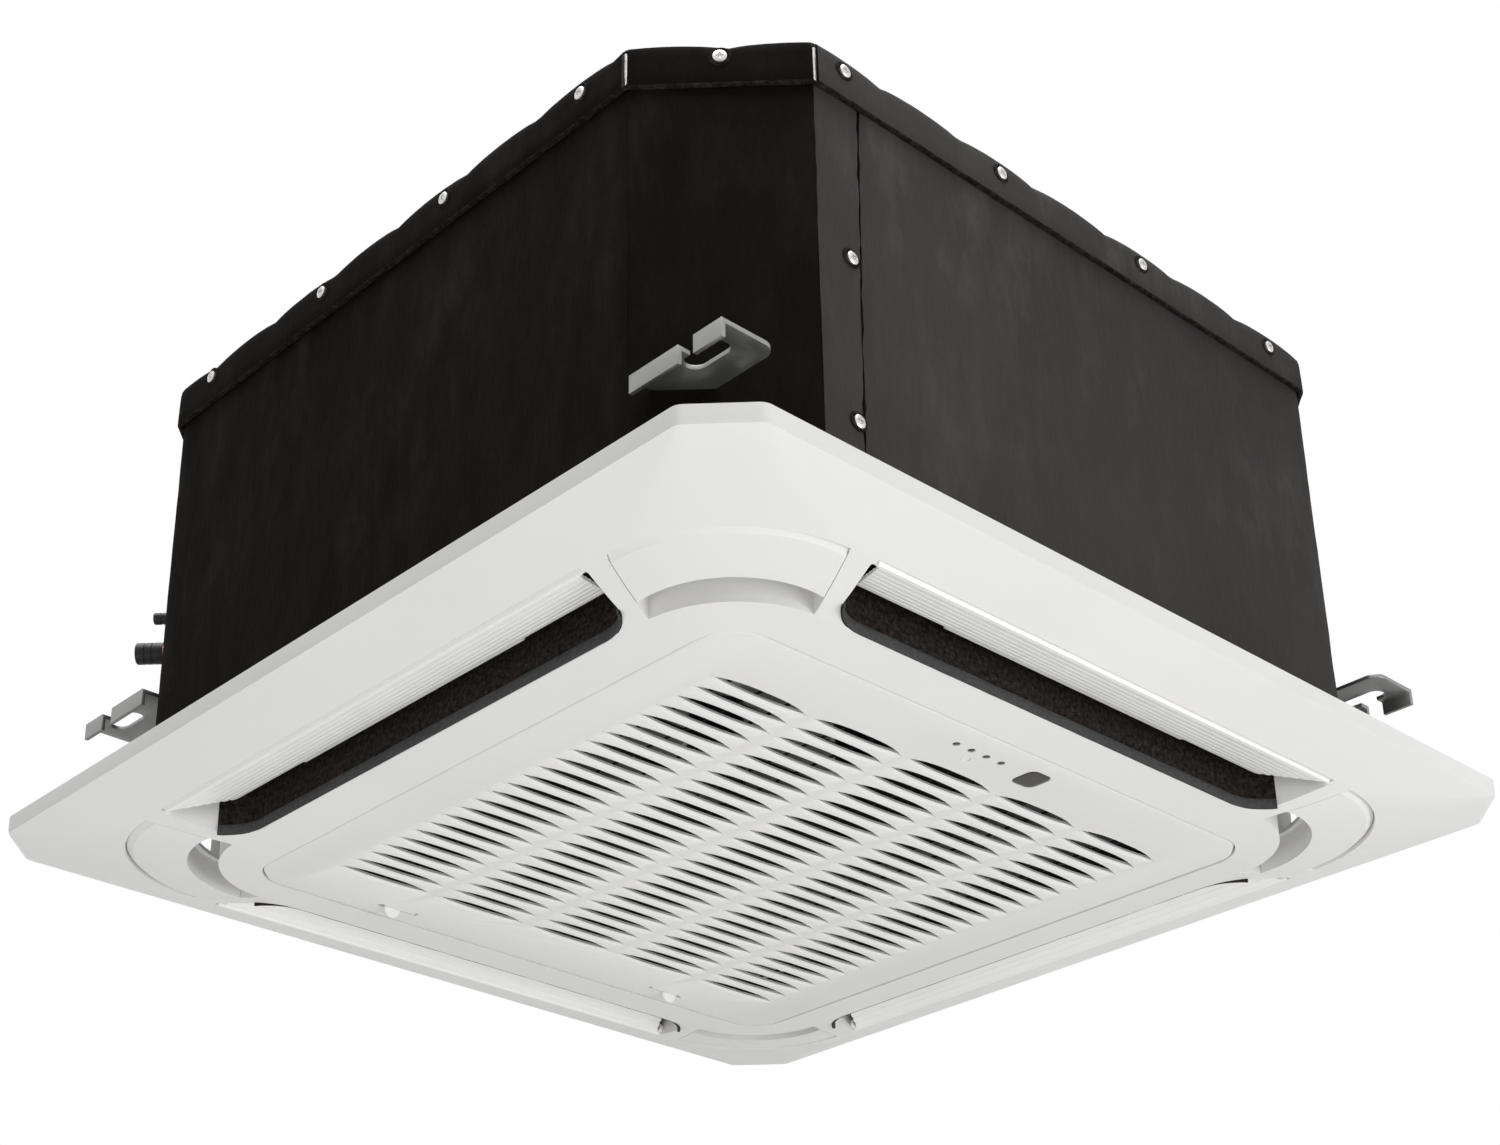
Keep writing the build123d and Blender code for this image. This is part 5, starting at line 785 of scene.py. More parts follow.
def octagon_walk():
    """Places round the octagon as (basis, cut, share of the half width, distance walked, slit)."""
    size = sizes()
    walk = []
    travelled = 0.0
    order = [("right", "back_right"), ("back", "back_left"), ("left", "front_left"), ("front", "front_right")]
    for side, corner in order:
        for basis, cut in ((side_basis(SIDES[side]), False), (corner_basis(CORNERS[corner]), True)):
            _, reach = side_measure(size.cap_face, cut)
            slit = CAP_SLIT_HALF / reach
            count = max(4, round(2 * reach / CAP_STEP))
            shares = [-1.0, -1.0 + slit, -1.0 + 2.2 * slit]
            shares += [-1 + 2 * index / count for index in range(1, count)]
            shares += [1.0 - 2.2 * slit, 1.0 - slit]
            for share in shares:
                deep = abs(share) > 1 - 1.5 * slit
                walk.append((basis, cut, share, travelled + reach * (1 + share), deep))
            travelled += 2 * reach
    return walk


def build_cap():
    """Foam lid with its folded band, waved along the top edge and slit at the corners."""
    size = sizes()
    walk = octagon_walk()
    low, top = CAP_LOW.z, CAP_HIGH.z

    def ring(face, height, rough=0.0, wave=0.0, slit_depth=0.0):
        made = []
        for basis, cut, share, travelled, deep in walk:
            out, along = basis
            inset = slit_depth if deep else 0.0
            distance, reach = side_measure(face - inset, cut)
            hump = abs(math.sin(math.pi * (travelled / size.scallop_pitch + 0.22))) ** 0.55
            spot = out * distance + along * reach * share
            z = height + wave * (hump - 0.72) + rough * wobble(spot + Vector((0, 0, height)), 0.004, 2)
            made.append(spot + out * rough * wobble(spot, 0.007, 6) + Vector((0, 0, z)))
        return made

    face = size.cap_face
    slit = CAP_SLIT_DEPTH
    loops = [
        ring(size.jacket_face + 0.0002, low + 0.0016),
        ring(size.jacket_face + 0.0002, low, 0.0003),
        ring(face - 0.0005, low - 0.0001, 0.0005, 0, slit - 0.0005),
        ring(face, low + 0.0008, 0.0003, 0, slit),
        ring(face - 0.0001, low + 0.009, 0.0001, 0, slit),
        ring(face - 0.0003, top - 0.008, 0.0001, 0.0002, slit),
        ring(face - 0.0005, top - 0.0035, 0.0001, size.scallop_depth * 0.7, slit - 0.0004),
        ring(face - 0.0018, top - 0.0008, 0.0001, size.scallop_depth, 0.0004),
        ring(face - 0.006, top - 0.0002, 0.0001, size.scallop_depth * 0.85),
        ring(face - 0.016, top - 0.0010, 0.0002, size.scallop_depth * 0.4),
        ring(face - 0.032, top - 0.0012, 0.0002, size.scallop_depth * 0.1),
    ]
    for step in range(1, 7):
        loops.append(ring(face - 0.032 - 0.032 * step, top - 0.0010 + 0.0006 * math.sin(step * 1.9), 0.0003))
    points, faces = [], []
    add_loops(points, faces, loops)
    faces.append([len(points) - len(walk) + index for index in range(len(walk))])
    piece = new_piece("cap", points, faces, 50.0)
    settle(piece, "unit", "cap_foam", material("cap"), "top_insulation")
    piece.data.materials.append(material("cut"))
    piece.data.materials.append(material("smooth_cap"))
    # Bottom faces show the cut edge. Faces that face +X get painted sheen, a lighter copy of the cap foam in
    # place of the key lamp's sheen.
    for polygon in piece.data.polygons:
        if polygon.center.z < low + 0.0009:
            polygon.material_index = 1
        elif polygon.normal.x > 0.75:
            polygon.material_index = 2


# ------------------------------------------------------------------ pieces: screws
# spacing of a side's cap screws and how far the row is shifted along the side
CAP_SCREW_ROWS = {
    "right": (0.1243, -0.0065),
    "back": (0.1183, -0.0016),
    "left": (0.1243, 0.0065),
    "front": (0.1183, 0.0016),
}
CAP_SCREW_COUNT = 4
CAP_SCREW_HEIGHT = 0.272
SIDE_SCREW_REACH = 0.190
SIDE_SCREW_HEIGHTS = (0.057, 0.155)


def screw_spots():
    """Places and directions of the cap's screws and of the two side screws."""
    face = sizes().cap_face
    level = Vector((0, 0, CAP_SCREW_HEIGHT))
    middle = (CAP_SCREW_COUNT - 1) / 2
    spots = []
    for side, (pitch, shift) in CAP_SCREW_ROWS.items():
        out, along = side_basis(SIDES[side])
        for index in range(CAP_SCREW_COUNT):
            spots.append((out * face + along * (shift + (index - middle) * pitch) + level, out))
    for signs in CORNERS.values():
        out, _ = corner_basis(signs)
        spots.append((out * side_measure(face, True)[0] + level, out))
    out, along = side_basis(SIDES["right"])
    for height in SIDE_SCREW_HEIGHTS:
        spots.append((out * sizes().jacket_face - along * SIDE_SCREW_REACH + Vector((0, 0, height)), out))
    return spots


def pan_head(radius, height):
    """Pan head with a cross recess, standing on its seat along +Z."""
    half = 10
    points, faces = [], []
    for row in range(-half, half + 1):
        for column in range(-half, half + 1):
            x, y = column / half, row / half
            px = x * math.sqrt(1 - y * y / 2) * radius
            py = y * math.sqrt(1 - x * x / 2) * radius
            share = math.hypot(px, py) / radius
            z = height * (1 - 0.28 * share ** 2 - 0.5 * max(0.0, share - 0.75) ** 0.8)
            narrow, wide = sorted((abs(column), abs(row)))
            if narrow <= 1 and wide <= 5:
                z = height * (0.25 + 0.05 * wide)
            points.append(Vector((px, py, z)))
    line = 2 * half + 1
    for row in range(line - 1):
        for column in range(line - 1):
            a = row * line + column
            faces.append([a, a + 1, a + 1 + line, a + line])
    border = [column for column in range(line)]
    border += [row * line + line - 1 for row in range(1, line)]
    border += [(line - 1) * line + column for column in range(line - 2, -1, -1)]
    border += [row * line for row in range(line - 2, 0, -1)]
    start = len(points)
    points.extend(Vector((points[index].x, points[index].y, -0.0004)) for index in border)
    count = len(border)
    for index in range(count):
        faces.append([border[(index + 1) % count], border[index], start + index, start + (index + 1) % count])
    faces.append([start + index for index in range(count)][::-1])
    return new_piece("pan_head", points, faces, 30.0)


def pressed_well(radius):
    """Dark dished ring that the foam shows round a screw."""
    points, faces = [], []
    loops = []
    for share, height in ((0.72, 0.00012), (0.92, 0.00034), (1.0, 0.0003), (1.06, -0.0002)):
        turns = (2 * math.pi * index / 20 for index in range(20))
        wide = radius * share
        loops.append([Vector((wide * math.cos(a), 1.12 * wide * math.sin(a), height)) for a in turns])
    add_closed(points, faces, loops)
    return new_piece("pressed_well", points, faces, 30.0)


def build_screws():
    """Pan head screws of the cap and the side, in their pressed wells."""
    spots = screw_spots()
    turned = [(place, out, 0.7 * index) for index, (place, out) in enumerate(spots)]
    heads = repeat_piece("screws", pan_head(sizes().screw_head, 0.0020), turned, material("zinc"))
    settle(heads, "unit", "zinc", None, "cap_screws")
    level = [(place + Vector((0, 0, 0.0004)), out, 0.0) for place, out in spots]
    # The dark rings paint the shade of the pressed recesses round the screws.
    wells = repeat_piece("screw_wells", pressed_well(sizes().screw_head * 1.42), level, material("cut"))
    settle(wells, "unit", "cap_foam", None)
    bolts = refined_copy("bracket_bolts", "bracket_bolt_heads", 30.0, 0.0004)
    settle(bolts, "unit", "zinc", material("zinc"), "bracket_bolts")


# ------------------------------------------------------------------ pieces: brackets and pipes
def build_brackets():
    """Folded steel hanger brackets with eased edges."""
    for corner in CORNERS:
        node = f"hanger_bracket_{corner}"
        piece = refined_copy(node, f"bracket_{corner}", 30.0, 0.0005, 2)
        settle(piece, "unit", "galvanised", material("bracket"), node)


def tube_along(points, faces, route, radii, steps=20):
    """Round surface along straight stations of a route, with a radius at each station."""
    heading = (route[-1] - route[0]).normalized()
    side = heading.cross(Vector((0, 0, 1))).normalized()
    up = side.cross(heading)
    loops = []
    for place, radius in zip(route, radii):
        turns = (2 * math.pi * index / steps for index in range(steps))
        loops.append([place + (side * math.cos(a) + up * math.sin(a)) * radius for a in turns])
    add_closed(points, faces, loops)


# place along the corner, height, radius and reach out of the foam of the gas and the liquid pipe
PIPE_ENDS = ((-0.011, 0.125, 0.00635, 0.030), (0.014, 0.136, 0.003175, 0.014))
PIPE_CAP_WALL = 0.0006
PIPE_CAP_LENGTH = 0.016
FOAM_DEPTH = 0.005
# ring groove of a pipe's cap, as (step along the cap, depth)
CAP_GROOVE = ((-0.0006, 0.0), (-0.0003, 0.0004), (0.0003, 0.0004), (0.0006, 0.0))


def build_pipes():
    """Black caps with two ring grooves on the two pipe ends."""
    points, faces = [], []
    out, along = corner_basis(CORNERS["front_left"])
    chamfer = side_measure(sizes().casing_face, True)[0]
    for s, height, radius, reach in PIPE_ENDS:
        cap = min(PIPE_CAP_LENGTH, reach - 0.0006)
        end = chamfer + FOAM_DEPTH + reach
        wall = radius + PIPE_CAP_WALL
        stations = [(end - cap, radius + 0.0001), (end - cap, wall - 0.0001), (end - cap + 0.0006, wall)]
        for mark in (0.42, 0.72):
            stations += [(end - cap + cap * mark + step, wall - depth) for step, depth in CAP_GROOVE]
        stations += [(end + 0.0008, wall), (end + 0.0016, wall - 0.0006), (end + 0.0018, wall - 0.0016)]
        base = along * s + Vector((0, 0, height))
        tube_along(points, faces, [out * d + base for d, _ in stations], [r for _, r in stations])
    caps = new_piece("pipe_end_caps", points, faces, 35.0)
    settle(caps, "unit", "pipe_cap_black", material("pipe_cap"), "pipe_caps")


# ------------------------------------------------------------------ pieces: panel
def build_panel():
    """Decoration panel frame and its corner covers."""
    frame_piece = refined_copy("panel_frame", "panel", 24.0)
    settle(frame_piece, "unit", "panel_white", material("panel"), "panel_frame")
    for corner in CORNERS:
        node = f"corner_cover_{corner}"
        piece = refined_copy(node, f"cover_{corner}", 24.0)
        settle(piece, "unit", "panel_white", material("panel"), node)


# ------------------------------------------------------------------ pieces: louvres
PIVOT_X, PIVOT_Z = 0.283, -0.0176
# a point of the lower face, as (distance from the axis, height), and the slope of the face
VANE_POINT, VANE_SLOPE = (0.2829, -0.02216), 0.342
# a louvre's edges, and its thickness there with how fast it grows away from them
VANE_OUTER, VANE_INNER = 0.2844, 0.2502
OUTER_EDGE, INNER_EDGE = (0.0007, 0.4), (0.0008, 0.5)
LIP_OUTER, LIP_INNER, LIP_REACH = 0.2510, 0.2479, 0.097
# lines between the ribs, as distances from the panel's axis
VANE_LINES = (0.2825, 0.2770, 0.2720, 0.2670, 0.2626, 0.2584, 0.2543, 0.2505)
RIB_LINE_HALF = 0.00045
# outer edge of the blade turned up, as (step outwards, rise)
VANE_CURL = ((0.0016, 0.0034), (0.0012, 0.0025), (0.0007, 0.00145), (0.0003, 0.00045))
# ears and pins, as (places along the pivot, radius)
EAR = ((0.1825, 0.1828, 0.1852, 0.1855), 0.0034)
PIN = ((0.1850, 0.1853, 0.1905, 0.1910), 0.0020)
# half length of the straight outer part and of the slanted part, each from its distance on
STRAIGHT_HALF, STRAIGHT_FROM = 0.1842, 0.2822
SLANT_HALF, SLANT_FROM, SLANT_SLOPE = 0.1633, 0.2505, 0.553
SCALLOP_DEPTH, SCALLOP_REACH, END_GAP = 0.0013, 0.0016, 0.0008


def vane_end(x):
    """Half length of a louvre at a distance from the axis, its slanted ends scalloped by the ribs."""
    if x > STRAIGHT_FROM:
        return STRAIGHT_HALF
    near = min(abs(x - line) for line in VANE_LINES)
    scallop = SCALLOP_DEPTH * min(1.0, near / SCALLOP_REACH) ** 0.5
    return SLANT_HALF + (x - SLANT_FROM) * SLANT_SLOPE + scallop - END_GAP


def vane_stations(marks, outer, inner, curl=()):
    """Places across a louvre as (distance from the axis, lift of its lower face)."""
    depth = sizes().rib_depth
    made = [(outer + step, rise) for step, rise in curl] + [(outer, 0.0001), (outer - 0.0003, 0.0)]
    for index, line in enumerate(marks):
        made += [(line + RIB_LINE_HALF, 0.0), (line, depth), (line - RIB_LINE_HALF, 0.0)]
        after = marks[index + 1] if index + 1 < len(marks) else inner
        made.append(((line + after) / 2, -0.00012))
    return made + [(inner + 0.0003, 0.0), (inner, 0.0003)]


def add_vane(points, faces, basis, stations, end):
    """Appends a closed blade whose length follows the distance from the axis."""
    out, along = basis
    across, steps = len(stations), 24
    outer, inner = stations[0][0], stations[-1][0]
    start = len(points)
    for top in (False, True):
        for x, lift in stations:
            base = VANE_POINT[1] + (VANE_POINT[0] - x) * VANE_SLOPE
            from_outer = OUTER_EDGE[0] + OUTER_EDGE[1] * (outer - x)
            from_inner = INNER_EDGE[0] + INNER_EDGE[1] * (x - inner)
            thick = min(sizes().vane_thickness, from_outer, from_inner)
            height = base + lift + (thick if top else 0.0)
            for step in range(steps + 1):
                points.append(out * x + along * end(x) * (2 * step / steps - 1) + Vector((0, 0, height)))
    line = steps + 1
    sheet = across * line
    for row in range(across - 1):
        for step in range(steps):
            a = start + row * line + step
            faces.append([a, a + 1, a + 1 + line, a + line])
            faces.append([a + sheet, a + sheet + line, a + sheet + line + 1, a + sheet + 1])
        for step in (0, steps):
            a = start + row * line + step
            faces.append([a, a + line, a + line + sheet, a + sheet])
    for row in (0, across - 1):
        for step in range(steps):
            a = start + row * line + step
            faces.append([a, a + 1, a + 1 + sheet, a + sheet])


def build_louvres():
    """Louvres: a ribbed blade with slanted scalloped ends, a lip in the middle, ears and pins."""
    blade = vane_stations(VANE_LINES[:-1], VANE_OUTER, VANE_INNER, VANE_CURL)
    lip = vane_stations((), LIP_OUTER, LIP_INNER)
    for side, turn in SIDES.items():
        points, faces = [], []
        out, along = basis = side_basis(turn)
        add_vane(points, faces, basis, blade, vane_end)
        add_vane(points, faces, basis, lip, lambda x: LIP_REACH)
        pivot = out * PIVOT_X + Vector((0, 0, PIVOT_Z))
        for end in (1, -1):
            for reach, radius in (EAR, PIN):
                route = [pivot + along * (end * place) for place in reach]
                tube_along(points, faces, route, [radius - 0.0003, radius, radius, radius - 0.0003], 20)
        piece = new_piece(f"louvre_{side}", points, faces, 28.0)
        settle(piece, f"vane_{side}", "louver_white", material("louvre"), f"louver_{side}")


# ------------------------------------------------------------------ pieces: outlet seals
# outline of half an outlet, as (distance from the axis, place along) with the radius of each corner
OUTLET_CORNERS = ((0.2869, -0.1885), (0.252, -0.1765), (0.2396, -0.1628))
OUTLET_ROUNDS = [0.0001, 0.014, 0.030]
LINING_LIMIT = 0.2545
# sections as (inset from the outlet's side, height)
LINING_SECTION = ((-0.0004, -0.0301), (0.0004, -0.0301), (0.0004, 0.0185), (-0.0004, 0.0185))
STRIP_SECTION = (
    (0.0002, -0.0301),
    (0.0011, -0.0301),
    (0.0015, -0.0296),
    (0.0015, -0.0246),
    (0.0011, -0.0241),
    (0.0002, -0.0241),
)


def lining_path():
    """Inner side of an outlet's outline from bend to bend, as (distance from the axis, place along)."""
    corners = [*OUTLET_CORNERS, *((x, -y) for x, y in reversed(OUTLET_CORNERS))]
    loop = filleted(corners, OUTLET_ROUNDS + OUTLET_ROUNDS[::-1], 8, 0.7)
    kept = [point for point in loop if point.x < LINING_LIMIT]
    path = []
    for here, after in zip(kept, kept[1:]):
        count = max(1, round((after - here).length / 0.006))
        path += [here.lerp(after, step / count) for step in range(count)]
    return path + [kept[-1]]


def add_ribbon(points, faces, basis, path, profile, sway):
    """Appends a strip along a path, its closed profile given as (inset, height) pairs."""
    out, along = basis
    loops = []
    for index, here in enumerate(path):
        heading = (path[min(index + 1, len(path) - 1)] - path[max(index - 1, 0)]).normalized()
        inward = Vector((heading.y, -heading.x))
        loop = []
        for inset, height in profile:
            spot = here + inward * inset
            place = out * spot.x + along * spot.y + Vector((0, 0, height))
            shake = sway * wobble(place, 0.02, 4)
            loop.append(place - out * abs(shake) + Vector((0, 0, shake)))
        loops.append(loop)
    add_closed(points, faces, loops)


def build_seals():
    """Black foam lining along the inner side of the outlets and the grey strip that stands on it."""
    path = lining_path()
    for name, finish, section, sway, replaced in (
        ("outlet_lining", "lining", LINING_SECTION, 0.0, ()),
        ("outlet_strips", "strip", STRIP_SECTION, 0.00025, ("duct_seals",)),
    ):
        points, faces = [], []
        for turn in SIDES.values():
            add_ribbon(points, faces, side_basis(turn), path, section, sway)
        piece = new_piece(name, points, faces, 40.0)
        settle(piece, "unit", "seal_foam", material(finish), *replaced)


# ------------------------------------------------------------------ pieces: grille
PLATE_HALF, PLATE_LEG, PLATE_THICKNESS = 0.2103, 0.0146, 0.003
# radius of the plate's corners as a share of their cut
PLATE_ROUND = 1.171
# eased lower edge of the plate, as (inset, rise)
PLATE_EDGE = ((0.0013, 0.0), (0.0008, 0.00012), (0.0004, 0.0004), (0.0001, 0.0009), (0.0, 0.0014))
SKIRT_INSETS = (0.0023, 0.0043)
SKIRT_TOP = -0.020
PEG_REACH, PEG_RADIUS, PEG_TOP = 0.1815, 0.003, -0.024
LIGHT_HOLE, BUTTON_HOLE = 0.0023, 0.0029
# hinge pins, as (places along Y, radius)
HINGE_PIN = ((0.204, 0.2136), 0.0015)
SLOT_SHIFT = -0.0002
WINDOW_HALF, WINDOW_ROUND = (0.0092, 0.00875), 0.005


def slot_loop(x, y, plus, minus, reach, steps=12):
    """Outline of a slot at one height: how far it bulges to the two sides and its half length."""
    made = []
    for index in range(steps):
        place = 2 * reach * index / steps - reach
        made.append(Vector((x + plus * (1 - abs(place / reach) ** 3), y + place)))
    for index in range(steps):
        place = reach - 2 * reach * index / steps
        made.append(Vector((x - minus * (1 - abs(place / reach) ** 2.6), y + place)))
    return made


def latch_opening(end):
    """Slit of a latch with its finger pocket, as an outline; end is +1 or -1 along Y."""
    x, y = LATCH_PLACE[0], LATCH_PLACE[1] * end
    shape = [
        (-0.0006, -0.0185), (-0.0006, 0.0045), (-0.0013, 0.0055), (-0.0013, 0.0063),
        (-0.0030, 0.0064), (-0.0004, 0.0120), (0.0026, 0.0064), (0.0013, 0.0063),
        (0.0013, 0.0055), (0.0006, 0.0045), (0.0006, -0.0165), (0.0034, -0.0165), (0.0034, -0.0185),
    ]
    return [Vector((x + a, y + end * b)) for a, b in shape]


def build_grille():
    """Intake grille: plate with lens slots, upright on one side and sloping up from a lip on the other."""
    size = sizes()
    low, top = PLATE_LOW.z, PLATE_LOW.z + PLATE_THICKNESS

    def outline(inset):
        cut = PLATE_LEG - LEG_STEP * inset
        return cut_square(PLATE_HALF - inset, cut, PLATE_ROUND * cut, 8)

    centres = []
    for row in range(size.slot_rows):
        for column in range(size.slot_columns):
            x = (row - (size.slot_rows - 1) / 2) * size.slot_pitch + SLOT_SHIFT
            y = (column - (size.slot_columns - 1) / 2) * size.column_pitch
            centres.append((x, y))
    reach, wide = size.slot_length / 2, size.slot_width / 2
    # height, bulge of the upright side, bulge of the sloping side, half length
    profile = [
        (low, wide + 0.0001, wide + 0.0002, reach + 0.0002),
        (low + 0.00012, wide, wide - 0.0002, reach),
        (low + 0.00045, wide, wide - 0.0007, reach - 0.0002),
        (low + 0.0010, wide, wide - 0.0015, reach - 0.0004),
        (low + 0.00105, wide, wide - 0.0019, reach - 0.0005),
        (low + 0.0012, wide, 0.46 * wide, reach - 0.0010),
        (low + 0.0014, wide + 0.0001, 0.5 * wide, reach - 0.0009),
        (top, wide + 0.0004, 0.6 * wide, reach - 0.0006),
    ]
    points, faces = [], []
    slots = [[slot_loop(x, y, *bows) for x, y in centres] for _, *bows in profile]
    for index in range(len(centres)):
        add_loops(points, faces, [lifted(slots[k][index], profile[k][0]) for k in range(len(profile))])
    others = [circle(LIGHT_HOLE, 16, (LIGHT_X, y)) for y in LIGHT_PLACES]
    a, b = WINDOW_HALF
    window = filleted([(-a, -b), (a, -b), (a, b), (-a, b)], WINDOW_ROUND, 5)
    others.append([Vector(WINDOW_PLACE) + point for point in window])
    others.append(circle(BUTTON_HOLE, 16, BUTTON_PLACE))
    others += [latch_opening(1), latch_opening(-1)]
    for loop in others:
        add_loops(points, faces, [lifted(loop, low), lifted(loop, top)])
    edge = [(inset, low + rise) for inset, rise in PLATE_EDGE] + [(0.0, top)]
    add_loops(points, faces, [lifted(outline(inset), height) for inset, height in edge])
    add_shell(points, faces, *flat_fill(outline(edge[0][0]), slots[0] + others, low))
    add_shell(points, faces, *flat_fill(outline(0.0), slots[-1] + others, top))
    near, far = SKIRT_INSETS
    skirt = [(near, top), (near, SKIRT_TOP), (far, SKIRT_TOP), (far, top)]
    add_loops(points, faces, [lifted(outline(inset), height) for inset, height in skirt])
    for x in (-PEG_REACH, PEG_REACH):
        for y in (-PEG_REACH, PEG_REACH):
            peg = circle(PEG_RADIUS, 12, (x, y))
            start = len(points)
            add_loops(points, faces, [lifted(peg, top), lifted(peg, PEG_TOP)])
            faces.append([start + 12 + k for k in range(12)])
    places, radius = HINGE_PIN
    for end in (1, -1):
        route = [Vector((HINGE_X, end * y, HINGE_Z)) for y in places]
        tube_along(points, faces, route, [radius, radius], 12)
    piece = new_piece("grille", points, faces, 32.0)
    settle(piece, "grille", "grille_white", material("grille"), "intake_grille")


# lens, window and button as rings from the back to the face: (radius or inset, height over the face)
LENS_RINGS = ((0.0020, 0.003), (0.0020, 0.0002), (0.0018, 0.0), (0.0012, -0.0002), (0.0005, -0.00028))
WINDOW_RINGS = ((0.0, 0.004), (0.0, 0.0003), (0.0004, 0.00003), (0.0012, -0.0001), (0.004, -0.00018))
BUTTON_RINGS = ((0.0026, 0.0017), (0.0026, 0.0002), (0.0023, 0.0), (0.0018, 0.0003))
WINDOW_GAP = 0.00015


def build_display():
    """Status lights, receiver window and button set in the grille."""
    low = PLATE_LOW.z
    points, faces = [], []
    add_closed(points, faces, [lifted(circle(radius, 16), -height) for radius, height in LENS_RINGS])
    template = new_piece("lens", points, faces, 40.0)
    down = Vector((0, 0, -1))
    spots = [(Vector((LIGHT_X, y, low + 0.00005)), down, 0.0) for y in LIGHT_PLACES]
    lights = repeat_piece("indicator_lenses", template, spots, material("lamp"))
    settle(lights, "grille", "light_dark", None, "status_lights")

    points, faces = [], []
    loops = []
    for inset, height in WINDOW_RINGS:
        a, b = (half - WINDOW_GAP - inset for half in WINDOW_HALF)
        corner = filleted([(-a, -b), (a, -b), (a, b), (-a, b)], max(0.0006, WINDOW_ROUND - inset), 5)
        loops.append([Vector((WINDOW_PLACE[0] + p.x, WINDOW_PLACE[1] + p.y, low + height)) for p in corner])
    add_closed(points, faces, loops)
    window = new_piece("receiver_lens", points, faces, 40.0)
    settle(window, "grille", "window_dark", material("window"), "receiver_window")

    points, faces = [], []
    loops = [lifted(circle(radius, 20, BUTTON_PLACE), low + height) for radius, height in BUTTON_RINGS]
    add_closed(points, faces, loops)
    button = new_piece("button_cap", points, faces, 40.0)
    settle(button, "button", "grille_white", material("grille"), "manual_button")


# half-round thumb tab of a latch, as (place across, share of the radius)
TAB_RADIUS = 0.006
TAB_SECTION = (
    (-0.0012, 0.82), (-0.0010, 0.94), (-0.0005, 1.0), (0.0005, 1.0), (0.0010, 0.94), (0.0012, 0.82),
)


def build_latches():
    """Half-round thumb tabs of the two latches, with their stems and tongues."""
    low = PLATE_LOW.z
    for side, end in (("back", 1), ("front", -1)):
        x, y = LATCH_PLACE[0], LATCH_PLACE[1] * end
        points, faces = [], []
        loops = []
        for offset, share in TAB_SECTION:
            radius = TAB_RADIUS * share
            turns = (math.pi * k / 16 for k in range(17))
            arc = ((y + radius * math.cos(a), low - 0.0002 - radius * math.sin(a)) for a in turns)
            loops.append([Vector((x + offset, *place)) for place in arc])
        add_closed(points, faces, loops)
        stem = ((x - 0.00035, x + 0.00035), (y - 0.0045, y + 0.0045), (low - 0.0008, -0.0240))
        tongue = ((-0.210, x + 0.0048), (y - 0.005, y + 0.005), (-0.0255, -0.0235))
        for (left, right), (near, far), (bottom, upper) in (stem, tongue):
            ring = [(left, near), (right, near), (right, far), (left, far)]
            add_closed(points, faces, [lifted(ring, bottom), lifted(ring, upper)])
        piece = new_piece(f"latch_tab_{side}", points, faces, 40.0)
        settle(piece, f"latch_slider_{side}", "grille_white", material("grille"), f"latch_{side}")


# ------------------------------------------------------------------ pieces: inside
def build_inside():
    """Finishes of the nodes that stay, and the soft pieces among them."""
    finishes = {
        "steel": ["casing", "top_plate"],
        "pan": ["air_liner", "drain_pan"],
        "dark": ["bell_mouth"],
        "mesh": ["air_filter"],
        "fins": ["evaporator_fins"],
        "copper": ["evaporator_tubes", "gas_pipe", "liquid_pipe"],
        "fan": ["turbo_fan"],
        "motor": ["fan_motor"],
        "zinc": ["motor_shaft", "fan_nut", "panel_bolts"],
        "box": ["control_box", "control_cover"],
        "board": ["control_board", "display_board"],
        "pump": ["drain_pump", "pump_impeller", "drain_stub", "float_switch", "float"]
        + [f"louver_motor_{side}" for side in SIDES],
    }
    for key, names in finishes.items():
        for name in names:
            node = NODES[name]
            node.data.materials.clear()
            node.data.materials.append(material(key))
    hose = refined_copy("drain_hose", "hose", 40.0)
    settle(hose, "unit", "hose_clear", material("hose"), "drain_hose")
    mounts = refined_copy("motor_mounts", "mount_pads", 30.0, 0.001)
    settle(mounts, "unit", "rubber_black", material("rubber"), "motor_mounts")


# ------------------------------------------------------------------ studio
def soft_lamp(name, place, target, size_x, size_y, power):
    """Rectangular lamp that faces its target and isn't seen itself."""
    lamp = bpy.data.lights.new(name, "AREA")
    lamp.shape = "RECTANGLE"
    lamp.size, lamp.size_y = size_x, size_y
    lamp.energy = power
    holder = bpy.data.objects.new(name, lamp)
    holder.location = place
    holder.rotation_euler = (Vector(target) - Vector(place)).to_track_quat("-Z", "Y").to_euler()
    holder.visible_camera = False
    bpy.context.scene.collection.objects.link(holder)


